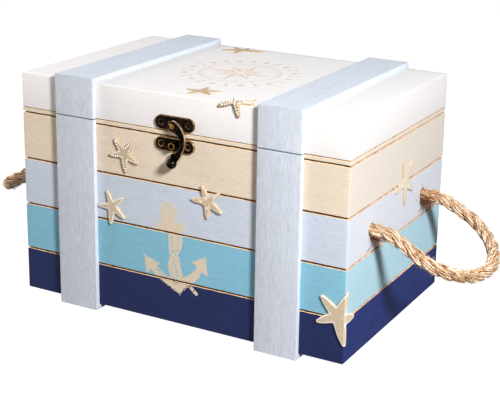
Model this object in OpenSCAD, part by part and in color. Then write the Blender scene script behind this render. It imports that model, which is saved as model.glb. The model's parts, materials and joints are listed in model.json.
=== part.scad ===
// Ditty box: a painted wooden keepsake box with a hinged lid, wrap-round battens,
// a swing-hook latch and rope handles. Millimetres. The origin is under the middle
// of the box, on the surface it stands on. +X is right and -Y is the front.

/* [Box] */
// Width of the box across the front
box_w = 240; // [200:1:320]
// Depth of the box, walls only
box_d = 154; // [130:1:200]
// Height of the case, from the underside of its walls to its rim
case_h = 128.4; // [120:0.1:180]
// Height of the lid, from its rim to its flat top
lid_h = 23.3; // [21:0.1:40]
// Gap between the rims of case and lid
lid_gap = 0.3; // [0.1:0.1:0.6]
// Thickness of the four walls
wall_t = 7; // [6:0.5:10]
// Thickness of the bottom panel
bottom_t = 4; // [3:0.5:8]
// Thickness of the lid's top panel
top_t = 5; // [3:0.5:8]

/* [Plank grooves] */
// Distance from groove to groove
plank_pitch = 32; // [29:0.5:36]
// Distance of the top groove below the rim of the case
top_groove_drop = 3.1; // [2.5:0.1:6]
// Width of a groove at the surface
groove_w = 2; // [1:0.1:3]
// Width of a groove at its floor
groove_floor_w = 0.8; // [0.4:0.1:0.9]
// Depth of a groove
groove_d = 1.6; // [0.8:0.1:2.5]

/* [Battens] */
// Width of a batten
batten_w = 30; // [26:1:40]
// Thickness of a batten
batten_t = 3.6; // [3:0.1:5]
// Distance of each batten from the end of the box
batten_inset = 30; // [15:1:45]

/* [Latch plates] */
// Length of each latch plate
plate_l = 29; // [26:0.5:34]
// Height of each latch plate
plate_h = 9.4; // [8:0.2:11]
// Thickness of each latch plate
plate_t = 1.2; // [1:0.1:1.6]
// Bevel round the face of a plate
plate_bevel = 0.4; // [0.2:0.1:0.6]
// Height of the hook plate's centre above the lid's rim
hook_plate_rise = 5.4; // [5.2:0.1:8]
// Depth of the keeper plate's centre below the rim of the case
keeper_plate_drop = 8.1; // [6:0.1:9]
// Distance of the pivot below the hook plate's centre
pivot_drop = 1.1; // [0:0.1:1.5]
// Shank radius of a latch nail
nail_r = 0.6; // [0.4:0.05:0.8]
// Head radius of a latch nail
nail_head_r = 1.5; // [1.2:0.1:1.8]
// Length of a latch nail under its head
nail_l = 4; // [3:0.5:5.5]
// Depth of the cup that a nail head sits in
cup_d = 0.5; // [0.3:0.05:0.6]
// Distance of each latch nail from the end of its plate
nail_inset = 4.5; // [4:0.1:6]

/* [Latch hook] */
// Thickness of the hook
hook_t = 2; // [1.6:0.1:2.6]
// Distance of the hook from its plate
hook_gap = 0.3; // [0.2:0.05:0.5]
// Outer radius of the hook's eye
eye_r = 3.4; // [3:0.1:4]
// Radius of the pivot rivet
rivet_r = 1.2; // [1:0.05:1.5]
// Radius of the rivet's head
rivet_head_r = 2.3; // [1.9:0.1:2.8]
// Height of the rivet's head
rivet_head_t = 0.9; // [0.6:0.1:1.4]
// Outer curve of the arm: distance of its centre left of the pivot
arm_outer_left = 4.6; // [3:0.1:6]
// Outer curve of the arm: distance of its centre below the pivot
arm_outer_drop = 9; // [8:0.1:10]
// Inner curve of the arm: distance of its centre left of the pivot
arm_inner_left = 1.2; // [0.6:0.1:1.8]
// Inner curve of the arm: distance of its centre below the pivot
arm_inner_drop = 10.6; // [10.2:0.1:11]
// Inner curve of the arm: radius
arm_inner_r = 6.9; // [6.4:0.1:7.2]
// Radius of the ball knob
knob_r = 3.4; // [2.8:0.1:4]
// Distance of the ball knob below the pivot
knob_drop = 23.8; // [22.5:0.1:25]
// Distance of the ball's centre in front of the walls
knob_out = 4.5; // [4.3:0.1:5]
// Outer radius of the keeper's tubular post
post_r = 2.4; // [2:0.1:2.8]
// Bore radius of the post
post_bore_r = 1.4; // [1:0.1:1.6]
// Depth of the post's bore
post_bore_d = 4; // [3:0.1:4.5]
// Distance that the post stands out from the walls
post_out = 5; // [4:0.1:6]

/* [Hinges] */
// Width of a hinge along its pin
hinge_w = 24; // [20:1:26]
// Height of each leaf from the pin's axis to its end
leaf_h = 13; // [12:0.5:16]
// Thickness of a leaf
leaf_t = 1; // [0.8:0.1:1.4]
// Radius of the hinge pin
pin_r = 1; // [0.8:0.1:1.2]
// Outer radius of the knuckles
knuckle_r = 2; // [1.8:0.1:2.6]
// Gap between neighbouring knuckles, and between knuckles and wood
knuckle_gap = 0.3; // [0.2:0.05:0.5]
// Shank radius of a hinge screw
screw_r = 0.9; // [0.7:0.05:1.1]
// Head radius of a hinge screw
screw_head_r = 1.9; // [1.6:0.1:2.2]
// Length of a hinge screw
screw_l = 8; // [6:0.5:9]
// Distance of each hinge screw from the middle of its leaf
screw_offset = 7; // [5:0.5:7.5]
// Distance of each hinge screw from the pin's axis
screw_drop = 8; // [6:0.5:9]

/* [Rope handles] */
// Diameter of the rope
rope_d = 8; // [6:0.5:9]
// Distance between the two holes of one handle
hole_spacing = 84; // [80:1:88]
// Height of the rope holes above the underside of the walls
hole_z = 76; // [60:1:85]
// Clearance all round the rope in its hole
hole_gap = 0.5; // [0.3:0.1:1]
// Clearance between a handle's free loop and the wall
loop_gap = 0.5; // [0.5:0.1:1]
// Radius of a stopper knot inside the box
knot_r = 8; // [7:0.5:9]
// Length of the rope's tail beyond its knot
tail_l = 9; // [4:1:12]

/* [Starfish] */
// Thickness of the starfish reliefs
star_t = 1.2; // [0.8:0.1:2]
// Arm length of the small starfish
small_star_r = 11.6; // [9:0.1:12]
// Arm length of the starfish on the cream plank
cream_star_r = 12.4; // [10:0.1:13]
// Arm length of the starfish at the corner
corner_star_r = 16.8; // [14:0.1:18]
// Arm length of the starfish on the right wall
side_star_r = 16.5; // [14:0.1:17]
// Arm length of the lid's starfish
lid_star_r = 11.4; // [9:0.1:12]
// Radius between two arms, as a share of the arm length
star_waist = 0.34; // [0.25:0.01:0.45]
// Radius of an arm's tip, as a share of the arm length
star_tip = 0.1; // [0.06:0.01:0.14]

/* [Starfish places] */
// Cream plank: distance from the left batten
cream_star_x = 22.7; // [14:0.1:30]
// Left sky plank: distance from the left batten
left_sky_star_x = 12.4; // [12.4:0.1:24]
// Left sky plank: height above the plank's lower groove
left_sky_star_rise = 10; // [4:0.1:20]
// Right sky plank: distance right of the middle
right_sky_star_x = 25.2; // [14:0.1:30]
// Right sky plank: depth below the plank's upper groove
right_sky_star_drop = 6.2; // [2:0.1:14]
// Corner: distance left of the corner
corner_star_in = 3; // [1:0.1:8]
// Corner: height above the bottom groove
corner_star_rise = 3; // [0:0.1:8]
// Right wall: distance behind the middle
side_star_back = 8.5; // [0:0.1:12]
// Right wall: height above the third groove
side_star_rise = 1.5; // [0:0.1:6]
// Front edge of the lid: distance from the right batten
lid_edge_star_x = 16; // [13:0.1:24]
// Front edge of the lid: distance behind the edge
lid_edge_star_in = 2; // [1:0.1:6]
// Front of the lid: distance right of the middle
lid_front_star_x = 8.5; // [0:0.1:14]
// Front of the lid: distance behind the front edge
lid_front_star_in = 18; // [14:0.1:26]
// Back of the lid: distance from the left batten
lid_back_star_x = 25.5; // [14:0.1:34]
// Back of the lid: distance in front of the back edge
lid_back_star_in = 12.5; // [12.5:0.1:24]

/* [Fits] */
// Radial clearance of a turning pin or rivet
running_gap = 0.06; // [0.02:0.01:0.1]
// Radial clearance of a driven nail, screw, rivet or post
driven_gap = 0.02; // [0.01:0.01:0.05]

/* [Hidden] */
$fn = 48;

// Paints and materials, as the photograph shows them
cream = "#E3D0B2";
sky = "#C5CDD9";
turquoise = "#7DBDD0";
navy = "#2E3258";
white = "#F2F0EE";
batten_blue = "#CAD3DF";
bare_wood = "#C99B63";
sand = "#D8C29A";
bronze = "#3A2A1C";
brass = "#A87B45";
sisal = "#C99A62";
// From the bottom plank up; the strip over the top groove has the colour below it
plank_paints = [navy, turquoise, sky, cream, cream];

// Heights above the underside of the walls
groove_count = 4;
lid_z = case_h + lid_gap;
top_z = lid_z + lid_h;
rail_top = top_z - top_t;
pivot_z = lid_z + hook_plate_rise - pivot_drop;
keeper_z = case_h - keeper_plate_drop;
hinge_z = case_h + lid_gap / 2;

// The hinge axis lies outside the back battens by the knuckle and its gap
hinge_y = box_d + batten_t + knuckle_gap + knuckle_r;
// The walls and battens are centred between the knob in front and the hinges behind
y_mid = (hinge_y + knuckle_r - knob_out - knob_r) / 2;
batten_x = box_w / 2 - batten_inset - batten_w / 2;
// Inner edge of each batten, as a distance from the middle
batten_edge = batten_x - batten_w / 2;
hook_y = -plate_t - hook_gap;
// Where the hook's inner curve is measured from, and its outer radius
inner_centre = [-arm_inner_left, -arm_inner_drop];
outer_centre = [-arm_outer_left, -arm_outer_drop];
arm_outer_r = norm(outer_centre) + eye_r;
rope_r = rope_d / 2;
loop_pivot = rope_r + loop_gap;
beyond = 1;
far = 60;

// One half of a handle's free loop: out from the wall, along it, and up
loop_half = [
    [11, 42.5, -0.5], [18, 43.5, -3], [25, 44, -6.5], [32, 44.5, -10.5],
    [39, 43.5, -14.5], [45, 40, -18], [50.5, 35, -21], [55, 28.5, -23.5],
    [58.5, 21, -25.5], [61, 13, -26.5], [62.5, 4.5, -27]];
loop_ends = [[loop_pivot, hole_spacing / 2, 0]];
loop_route = concat(
    loop_ends, loop_half,
    [for (i = [len(loop_half) - 1:-1:0]) [loop_half[i].x, -loop_half[i].y, loop_half[i].z]],
    [[loop_pivot, -hole_spacing / 2, 0]]);
rope_sides = 10;
// The loop leans out and down, so its rings are turned from this direction
loop_up = [0.4, 0, 0.9];
cap_angles = [75, 50, 25];

// Height of the middle of a groove, counted from the bottom
function groove_z(i) = case_h - top_groove_drop - (groove_count - i) * plank_pitch;

// Moves a piece from the box's corner frame to the part's own frame
module placed() {
    translate([0, -y_mid, batten_t]) children();
}

// A block from one corner to the other
module block(low, high) {
    translate(low) cube(high - low);
}

// A prism along X from an outline in Y and Z
module along_x(width) {
    rotate([90, 0, 90]) linear_extrude(width, center = true) children();
}

// The two holes for a latch plate's nails, in the wood behind it
module nail_holes(z) {
    for (side = [-1, 1])
        translate([side * (plate_l / 2 - nail_inset), -beyond, z]) rotate([-90, 0, 0])
            cylinder(h = nail_l + beyond, r = nail_r + driven_gap);
}

// Outline of one plank between its grooves, for a box of the given width or depth
module plank_outline(i, width) {
    low = i == 0 ? 0 : groove_z(i);
    high = i == groove_count ? case_h : groove_z(i + 1);
    floor_low = i == 0 ? 0 : low + groove_floor_w / 2;
    face_low = i == 0 ? 0 : low + groove_w / 2;
    floor_high = i == groove_count ? high : high - groove_floor_w / 2;
    face_high = i == groove_count ? high : high - groove_w / 2;
    half = width / 2;
    inner = half - groove_d;
    polygon([
        [-inner, floor_low], [-half, face_low], [-half, face_high], [-inner, floor_high],
        [inner, floor_high], [half, face_high], [half, face_low], [inner, floor_low]]);
}

// One plank as a solid block over the whole box, with its bevels all round
module plank_block(i) {
    intersection() {
        translate([0, box_d / 2, 0]) rotate([90, 0, 0])
            linear_extrude(box_d + beyond, center = true) plank_outline(i, box_w);
        translate([0, box_d / 2, 0]) along_x(box_w + beyond) plank_outline(i, box_d);
    }
}

// A wall board between two corners: its core, and its painted planks outside
module grooved_board(low, high) {
    color(bare_wood) intersection() {
        block(low, high);
        block([-box_w / 2 + groove_d, groove_d, 0],
              [box_w / 2 - groove_d, box_d - groove_d, case_h]);
    }
    for (i = [0:groove_count])
        color(plank_paints[i]) intersection() {
            block(low, high);
            plank_block(i);
        }
}

module front_wall() {
    placed() difference() {
        grooved_board([-box_w / 2, 0, 0], [box_w / 2, wall_t, case_h]);
        nail_holes(keeper_z);
    }
}

module back_wall() {
    placed() difference() {
        grooved_board([-box_w / 2, box_d - wall_t, 0], [box_w / 2, box_d, case_h]);
        hinge_screw_holes(-1);
    }
}

module side_wall(side) {
    low_x = side > 0 ? box_w / 2 - wall_t : -box_w / 2;
    placed() difference() {
        grooved_board([low_x, wall_t, 0], [low_x + wall_t, box_d - wall_t, case_h]);
        for (y = rope_hole_ys())
            translate([low_x - beyond, y, hole_z]) rotate([0, 90, 0])
                cylinder(h = wall_t + 2 * beyond, r = rope_r + hole_gap);
    }
}

function rope_hole_ys() = [box_d / 2 - hole_spacing / 2, box_d / 2 + hole_spacing / 2];

module left_wall() side_wall(-1);

module right_wall() side_wall(1);

module bottom_panel() {
    color(bare_wood) placed()
        block([-box_w / 2 + wall_t, wall_t, 0], [box_w / 2 - wall_t, box_d - wall_t, bottom_t]);
}

// Battens wrap the box as rings, mitred at its edges; each outline is Y and Z
front_batten_outline = [[0, 0], [-batten_t, -batten_t], [-batten_t, case_h], [0, case_h]];
runner_outline = [[0, 0], [-batten_t, -batten_t],
                  [box_d + batten_t, -batten_t], [box_d, 0]];
lid_front_outline = [[0, lid_z], [-batten_t, lid_z], [-batten_t, top_z + batten_t], [0, top_z]];
lid_top_outline = [[0, top_z], [-batten_t, top_z + batten_t],
                   [box_d + batten_t, top_z + batten_t], [box_d, top_z]];

function at_back(outline) = [for (p = outline) [box_d - p.x, p.y]];

module batten(side, outline) {
    translate([side * batten_x, 0, 0]) along_x(batten_w) polygon(outline);
}

module case_front_batten(side) color(batten_blue) placed() batten(side, front_batten_outline);

module case_back_batten(side) {
    color(batten_blue) placed() difference() {
        batten(side, at_back(front_batten_outline));
        hinge_screw_holes(-1);
    }
}

module runner(side) color(batten_blue) placed() batten(side, runner_outline);

module left_front_batten() case_front_batten(-1);

module right_front_batten() case_front_batten(1);

module left_back_batten() case_back_batten(-1);

module right_back_batten() case_back_batten(1);

module left_runner() runner(-1);

module right_runner() runner(1);

// The lid: four rails under one top panel
module lid_front_rail() {
    color(white) placed() difference() {
        block([-box_w / 2, 0, lid_z], [box_w / 2, wall_t, rail_top]);
        nail_holes(lid_z + hook_plate_rise);
    }
}

module lid_back_rail() {
    color(white) placed() difference() {
        block([-box_w / 2, box_d - wall_t, lid_z], [box_w / 2, box_d, rail_top]);
        hinge_screw_holes(1);
    }
}

module lid_side_rail(side) {
    low_x = side > 0 ? box_w / 2 - wall_t : -box_w / 2;
    color(white) placed()
        block([low_x, wall_t, lid_z], [low_x + wall_t, box_d - wall_t, rail_top]);
}

module lid_left_rail() lid_side_rail(-1);

module lid_right_rail() lid_side_rail(1);

module lid_top_panel() {
    color(white) placed() block([-box_w / 2, 0, rail_top], [box_w / 2, box_d, top_z]);
}

module lid_front_batten(side) color(batten_blue) placed() batten(side, lid_front_outline);

module lid_top_batten(side) color(batten_blue) placed() batten(side, lid_top_outline);

module lid_back_batten(side) {
    color(batten_blue) placed() difference() {
        batten(side, at_back(lid_front_outline));
        hinge_screw_holes(1);
    }
}

module left_lid_front_batten() lid_front_batten(-1);

module right_lid_front_batten() lid_front_batten(1);

module left_lid_top_batten() lid_top_batten(-1);

module right_lid_top_batten() lid_top_batten(1);

module left_lid_back_batten() lid_back_batten(-1);

module right_lid_back_batten() lid_back_batten(1);

// A latch plate: a pill with a bevelled face, two nail cups and a hole in the middle
module latch_plate(z, middle_z, middle_r) {
    lobe_x = plate_l / 2 - plate_h / 2;
    face_t = plate_t - plate_bevel;
    translate([0, 0, z]) rotate([90, 0, 0]) difference() {
        union() {
            for (side = [-1, 1]) translate([side * lobe_x, 0, 0]) {
                cylinder(h = face_t, r = plate_h / 2);
                translate([0, 0, face_t])
                    cylinder(h = plate_bevel, r1 = plate_h / 2, r2 = plate_h / 2 - plate_bevel);
            }
            along_x(2 * lobe_x) polygon([
                [-plate_h / 2, 0], [plate_h / 2, 0], [plate_h / 2, face_t],
                [plate_h / 2 - plate_bevel, plate_t], [-plate_h / 2 + plate_bevel, plate_t],
                [-plate_h / 2, face_t]]);
        }
        for (side = [-1, 1]) translate([side * (plate_l / 2 - nail_inset), 0, 0]) {
            translate([0, 0, -beyond]) cylinder(h = far, r = nail_r + driven_gap);
            translate([0, 0, plate_t - cup_d]) cylinder(h = far, r = nail_head_r + cup_d);
        }
        translate([0, middle_z - z, -beyond]) cylinder(h = far, r = middle_r + driven_gap);
    }
}

// Two nails with domed heads that stay below the face of their plate
module plate_nails(z) {
    head_t = cup_d - driven_gap;
    dome_r = 2 * nail_head_r;
    for (side = [-1, 1])
        translate([side * (plate_l / 2 - nail_inset), -plate_t + cup_d, z]) rotate([90, 0, 0]) {
            translate([0, 0, -nail_l]) cylinder(h = nail_l, r = nail_r);
            intersection() {
                cylinder(h = head_t, r = nail_head_r);
                translate([0, 0, head_t - dome_r]) sphere(r = dome_r);
            }
        }
}

module hook_plate() {
    color(bronze) placed() latch_plate(lid_z + hook_plate_rise, pivot_z, rivet_r);
}

module hook_plate_nails() color(bronze) placed() plate_nails(lid_z + hook_plate_rise);

module keeper_plate() color(bronze) placed() latch_plate(keeper_z, keeper_z, post_r);

module keeper_nails() color(bronze) placed() plate_nails(keeper_z);

// The rivet: shank, a shoulder that spaces the hook off its plate, and a domed head
module pivot_rivet() {
    shoulder_t = hook_gap - running_gap;
    head_z = plate_t + hook_gap + hook_t + running_gap;
    dome_r = 1.6 * rivet_head_r;
    color(brass) placed() translate([0, 0, pivot_z]) rotate([90, 0, 0]) {
        cylinder(h = head_z + rivet_head_t / 2, r = rivet_r);
        translate([0, 0, plate_t]) cylinder(h = shoulder_t, r = rivet_head_r - running_gap);
        intersection() {
            translate([0, 0, head_z]) cylinder(h = rivet_head_t, r = rivet_head_r);
            translate([0, 0, head_z + rivet_head_t - dome_r]) sphere(r = dome_r);
        }
    }
}

// The keeper's post: an eyelet with a rolled lip at its mouth
module keeper_post() {
    lip = 0.35;
    color(brass) placed() translate([0, 0, keeper_z]) rotate([90, 0, 0]) difference() {
        union() {
            cylinder(h = post_out - lip, r = post_r);
            translate([0, 0, post_out - lip]) cylinder(h = lip, r1 = post_r, r2 = post_r - lip);
        }
        translate([0, 0, post_out - post_bore_d]) cylinder(h = far, r = post_bore_r);
    }
}

// The hook seen from the front: its eye, and an arm between two off-centre curves that
// widens towards the knob
module hook_outline() {
    to_eye = -inner_centre;
    to_knob = [0, -knob_drop] - inner_centre;
    difference() {
        union() {
            circle(r = eye_r);
            intersection() {
                difference() {
                    translate(outer_centre) circle(r = arm_outer_r);
                    translate(inner_centre) circle(r = arm_inner_r);
                }
                polygon([inner_centre, inner_centre + to_eye * 3, [far, far],
                         [far, -far], inner_centre + to_knob * 3]);
            }
        }
        circle(r = rivet_r + running_gap);
    }
}

module latch_hook() {
    color(bronze) placed() translate([0, hook_y, pivot_z]) rotate([90, 0, 0]) {
        linear_extrude(hook_t) hook_outline();
        translate([0, -knob_drop, knob_out + hook_y]) sphere(r = knob_r);
    }
}

// Hinges: a leaf seen along its pin, with the wood behind it
module leaf_outline(up, with_knuckle) {
    wood = -knuckle_r - knuckle_gap;
    scale([1, up]) difference() {
        union() {
            start = with_knuckle ? knuckle_gap + lid_gap : knuckle_r + knuckle_gap;
            translate([wood, start]) square([leaf_t, leaf_h - start]);
            if (with_knuckle) circle(r = knuckle_r);
        }
        if (with_knuckle) circle(r = pin_r + running_gap);
    }
}

// The case leaf has the two end knuckles, and the lid leaf has the middle one
module hinge_leaf(side, up) {
    knuckle_w = hinge_w / 3;
    middle_w = knuckle_w - knuckle_gap;
    end_x = hinge_w / 2 - middle_w / 2;
    knuckle_xs = up < 0 ? [-end_x, end_x] : [0];
    translate([side * batten_x, hinge_y, hinge_z]) difference() {
        union() {
            along_x(hinge_w) leaf_outline(up, false);
            for (x = knuckle_xs) translate([x, 0, 0]) along_x(middle_w) leaf_outline(up, true);
        }
        for (offset_x = [-screw_offset, screw_offset])
            translate([offset_x, -knuckle_r - knuckle_gap, up * screw_drop]) rotate([-90, 0, 0]) {
                translate([0, 0, -beyond])
                    cylinder(h = leaf_t + 2 * beyond, r = screw_r + driven_gap);
                cylinder(h = leaf_t, r1 = screw_r + driven_gap, r2 = screw_head_r + driven_gap);
            }
    }
}

// The screws of the two leaves on one body, countersunk flush into the leaves
module hinge_screws(up) {
    for (side = [-1, 1], offset_x = [-screw_offset, screw_offset])
        translate([side * batten_x + offset_x, box_d + batten_t, hinge_z + up * screw_drop])
            rotate([-90, 0, 0]) {
                cylinder(h = leaf_t, r1 = screw_r, r2 = screw_head_r);
                translate([0, 0, leaf_t - screw_l])
                    cylinder(h = screw_l - leaf_t / 2, r = screw_r);
            }
}

// Their holes in the wood, a little deeper than the screws
module hinge_screw_holes(up) {
    for (side = [-1, 1], offset_x = [-screw_offset, screw_offset])
        translate([side * batten_x + offset_x, box_d + batten_t + beyond,
                   hinge_z + up * screw_drop])
            rotate([90, 0, 0]) cylinder(h = screw_l - leaf_t + 1.5 * beyond, r = screw_r + driven_gap);
}

module hinge_pin(side) {
    color(brass) placed() translate([side * batten_x, hinge_y, hinge_z])
        rotate([0, 90, 0]) cylinder(h = hinge_w, r = pin_r, center = true);
}

module left_hinge_case_leaf() color(brass) placed() hinge_leaf(-1, -1);

module right_hinge_case_leaf() color(brass) placed() hinge_leaf(1, -1);

module left_hinge_lid_leaf() color(brass) placed() hinge_leaf(-1, 1);

module right_hinge_lid_leaf() color(brass) placed() hinge_leaf(1, 1);

module left_hinge_pin() hinge_pin(-1);

module right_hinge_pin() hinge_pin(1);

module hinge_case_screws() color(brass) placed() hinge_screws(-1);

module hinge_lid_screws() color(brass) placed() hinge_screws(1);

// The rope in its hole, its stopper knot against the wall inside, and a short tail
module rope_end(side, y) {
    inner = box_w / 2 - wall_t;
    color(sisal) placed() translate([0, y, hole_z]) rotate([0, side * 90, 0]) {
        translate([0, 0, inner - knot_r]) cylinder(h = wall_t + knot_r, r = rope_r);
        translate([0, 0, inner - knot_r]) sphere(r = knot_r);
        translate([0, 0, inner - 2 * knot_r - tail_l + rope_r])
            cylinder(h = knot_r + tail_l - rope_r, r = rope_r);
    }
}

module right_front_rope_end() rope_end(1, rope_hole_ys()[0]);

module right_back_rope_end() rope_end(1, rope_hole_ys()[1]);

module left_front_rope_end() rope_end(-1, rope_hole_ys()[0]);

module left_back_rope_end() rope_end(-1, rope_hole_ys()[1]);

// One ring of the rope's tube round a point, square to the way it runs
function unit(v) = v / norm(v);
function ring(centre, along, r) =
    let (sideways = unit(cross(along, loop_up)), up = cross(sideways, along))
    [for (i = [0:rope_sides - 1])
        centre + r * (cos(360 * i / rope_sides) * sideways + sin(360 * i / rope_sides) * up)];
function direction(route, i) =
    unit(route[min(i + 1, len(route) - 1)] - route[max(i - 1, 0)]);

// A free rope loop with rounded ends that turn on the spot beside the wall
module rope_loop(route, r) {
    last = len(route) - 1;
    start = direction(route, 0);
    end = direction(route, last);
    rings = concat(
        [for (a = cap_angles) ring(route[0] - start * r * sin(a), start, r * cos(a))],
        [for (i = [0:last]) ring(route[i], direction(route, i), r)],
        [for (i = [len(cap_angles) - 1:-1:0])
            ring(route[last] + end * r * sin(cap_angles[i]), end, r * cos(cap_angles[i]))]);
    points = [for (one = rings) for (p = one) p];
    ring_count = len(rings);
    sides = [for (j = [0:ring_count - 2]) for (i = [0:rope_sides - 1])
        let (next = (i + 1) % rope_sides, a = j * rope_sides, b = a + rope_sides)
        for (face = [[a + i, a + next, b + i], [a + next, b + next, b + i]]) face];
    first_cap = [for (i = [rope_sides - 1:-1:0]) i];
    last_cap = [for (i = [0:rope_sides - 1]) (ring_count - 1) * rope_sides + i];
    polyhedron(points, concat([first_cap], sides, [last_cap]));
}

module rope_handle(side) {
    color(sisal) placed() translate([side * box_w / 2, box_d / 2, hole_z])
        mirror([side < 0 ? 1 : 0, 0, 0]) rope_loop(loop_route, rope_r);
}

module right_rope_handle() rope_handle(1);

module left_rope_handle() rope_handle(-1);

// Outline of a starfish: five arms that taper from a waist to a rounded tip
function star_arm(r) =
    let (waist = [r * star_waist * cos(36), r * star_waist * sin(36)], tip = r * star_tip)
    let (edge = [for (t = [0:0.25:1])
        [waist.x + t * (r - tip - waist.x), tip + (waist.y - tip) * pow(1 - t, 1.7)]])
    concat(
        [for (p = edge) [p.x, -p.y]],
        [for (a = [-60:30:60]) [r - tip + tip * cos(a), tip * sin(a)]],
        [for (i = [len(edge) - 1:-1:1]) edge[i]]);
function turned(p, a) = [p.x * cos(a) - p.y * sin(a), p.x * sin(a) + p.y * cos(a)];
function starfish_outline(r, turn) =
    [for (k = [0:4]) for (p = star_arm(r)) turned(p, turn + 72 * k)];

module starfish(centre, r, turn) {
    translate(centre) polygon(starfish_outline(r, turn));
}

// A relief on the front of the walls, drawn in X and Z
module on_front() {
    color(sand) placed() rotate([90, 0, 0]) linear_extrude(star_t) children();
}

// A relief folded round a vertical corner at the given X: the part beyond the edge
// turns onto the right wall, and both parts share the corner
module folded_round_corner(edge) {
    on_front() intersection() {
        children();
        translate([edge + star_t - 2 * far, -far]) square([2 * far, 4 * far]);
    }
    color(sand) placed() translate([edge, 0, 0]) rotate([90, 0, 90]) linear_extrude(star_t)
        intersection() {
            translate([-edge, 0]) children();
            translate([-star_t, -far]) square([2 * far, 4 * far]);
        }
}

module starfish_cream_plank() {
    centre = [-batten_edge + cream_star_x, groove_z(3) + plank_pitch / 2];
    on_front() starfish(centre, cream_star_r, turn = 57);
}

module starfish_left_sky_plank() {
    centre = [-batten_edge + left_sky_star_x, groove_z(2) + left_sky_star_rise];
    on_front() starfish(centre, small_star_r, turn = 39);
}

module starfish_right_sky_plank() {
    on_front() starfish([right_sky_star_x, groove_z(3) - right_sky_star_drop], small_star_r, turn = 42);
}

module starfish_corner() {
    centre = [box_w / 2 - corner_star_in, groove_z(1) + corner_star_rise];
    folded_round_corner(box_w / 2) starfish(centre, corner_star_r, turn = 68);
}

module starfish_right_wall() {
    centre = [box_d / 2 + side_star_back, groove_z(3) + side_star_rise];
    color(sand) placed() translate([box_w / 2, 0, 0]) rotate([90, 0, 90])
        linear_extrude(star_t) starfish(centre, side_star_r, turn = 42);
}

// A relief on the flat top of the lid, drawn in X and Y
module on_top() {
    color(sand) placed() translate([0, 0, top_z]) linear_extrude(star_t) children();
}

// The starfish folded over the front edge of the lid: Y below zero turns down the front
module starfish_lid_edge() {
    centre = [batten_edge - lid_edge_star_x, lid_edge_star_in];
    on_top() intersection() {
        starfish(centre, lid_star_r, turn = 66);
        translate([-far, -star_t]) square([3 * far, 2 * far]);
    }
    on_front() intersection() {
        translate([0, top_z]) starfish(centre, lid_star_r, turn = 66);
        translate([-far, top_z + star_t - 2 * far]) square([3 * far, 2 * far]);
    }
}

module starfish_lid_front() {
    on_top() starfish([lid_front_star_x, lid_front_star_in], lid_star_r, turn = 39);
}

module starfish_lid_back() {
    centre = [-batten_edge + lid_back_star_x, box_d - lid_back_star_in];
    on_top() starfish(centre, lid_star_r, turn = 36);
}

front_wall();
back_wall();
left_wall();
right_wall();
bottom_panel();
left_front_batten();
right_front_batten();
left_back_batten();
right_back_batten();
left_runner();
right_runner();
keeper_plate();
keeper_post();
keeper_nails();
left_hinge_case_leaf();
right_hinge_case_leaf();
left_hinge_pin();
right_hinge_pin();
hinge_case_screws();
right_front_rope_end();
right_back_rope_end();
left_front_rope_end();
left_back_rope_end();
starfish_cream_plank();
starfish_left_sky_plank();
starfish_right_sky_plank();
starfish_corner();
starfish_right_wall();
lid_front_rail();
lid_back_rail();
lid_left_rail();
lid_right_rail();
lid_top_panel();
left_lid_front_batten();
right_lid_front_batten();
left_lid_top_batten();
right_lid_top_batten();
left_lid_back_batten();
right_lid_back_batten();
hook_plate();
pivot_rivet();
hook_plate_nails();
left_hinge_lid_leaf();
right_hinge_lid_leaf();
hinge_lid_screws();
starfish_lid_edge();
starfish_lid_front();
starfish_lid_back();
latch_hook();
right_rope_handle();
left_rope_handle();
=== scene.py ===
# Ditty box: a painted wooden keepsake box with rope handles and a swing-hook latch.
# Metres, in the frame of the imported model: +X is right, -Y is the front, +Z is up.
import json
from math import atan2, cos, degrees, exp, hypot, log, pi, radians, sin, sqrt, tau

import bmesh
import bpy
from mathutils import Matrix, Vector, noise

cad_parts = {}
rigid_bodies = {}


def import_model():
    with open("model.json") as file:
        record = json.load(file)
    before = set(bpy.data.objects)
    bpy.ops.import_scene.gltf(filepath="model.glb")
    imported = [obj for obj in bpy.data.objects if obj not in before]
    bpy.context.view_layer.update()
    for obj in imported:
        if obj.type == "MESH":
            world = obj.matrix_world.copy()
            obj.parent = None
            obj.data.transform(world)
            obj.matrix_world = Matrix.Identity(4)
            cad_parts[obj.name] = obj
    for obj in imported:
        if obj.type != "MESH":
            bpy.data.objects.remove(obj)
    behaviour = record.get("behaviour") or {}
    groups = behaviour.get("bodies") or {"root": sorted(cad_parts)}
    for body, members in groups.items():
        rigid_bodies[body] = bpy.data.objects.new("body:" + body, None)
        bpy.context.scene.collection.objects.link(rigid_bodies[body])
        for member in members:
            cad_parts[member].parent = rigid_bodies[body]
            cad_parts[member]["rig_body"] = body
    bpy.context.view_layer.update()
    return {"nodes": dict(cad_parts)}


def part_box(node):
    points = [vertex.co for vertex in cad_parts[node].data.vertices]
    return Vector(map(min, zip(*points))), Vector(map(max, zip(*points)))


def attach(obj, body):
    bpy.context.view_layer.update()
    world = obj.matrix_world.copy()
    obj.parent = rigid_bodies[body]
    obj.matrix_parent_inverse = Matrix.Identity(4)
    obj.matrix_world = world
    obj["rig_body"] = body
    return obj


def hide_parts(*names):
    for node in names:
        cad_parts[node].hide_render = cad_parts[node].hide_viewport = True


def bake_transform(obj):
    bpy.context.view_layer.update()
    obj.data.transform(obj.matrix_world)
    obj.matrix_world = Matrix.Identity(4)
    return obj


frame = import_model()
mm = 0.001
print("frame loaded")


def linearColour(hexCode):
    channels = [int(hexCode[i:i + 2], 16) / 255 for i in (1, 3, 5)]
    return (*[c / 12.92 if c <= 0.04045 else ((c + 0.055) / 1.055) ** 2.4 for c in channels], 1)


def feed(tree, node, inputs):
    # links what is a socket and sets what is a value
    for socket, value in inputs.items():
        if isinstance(value, bpy.types.NodeSocket):
            tree.links.new(value, node.inputs[socket])
        else:
            node.inputs[socket].default_value = value


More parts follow.
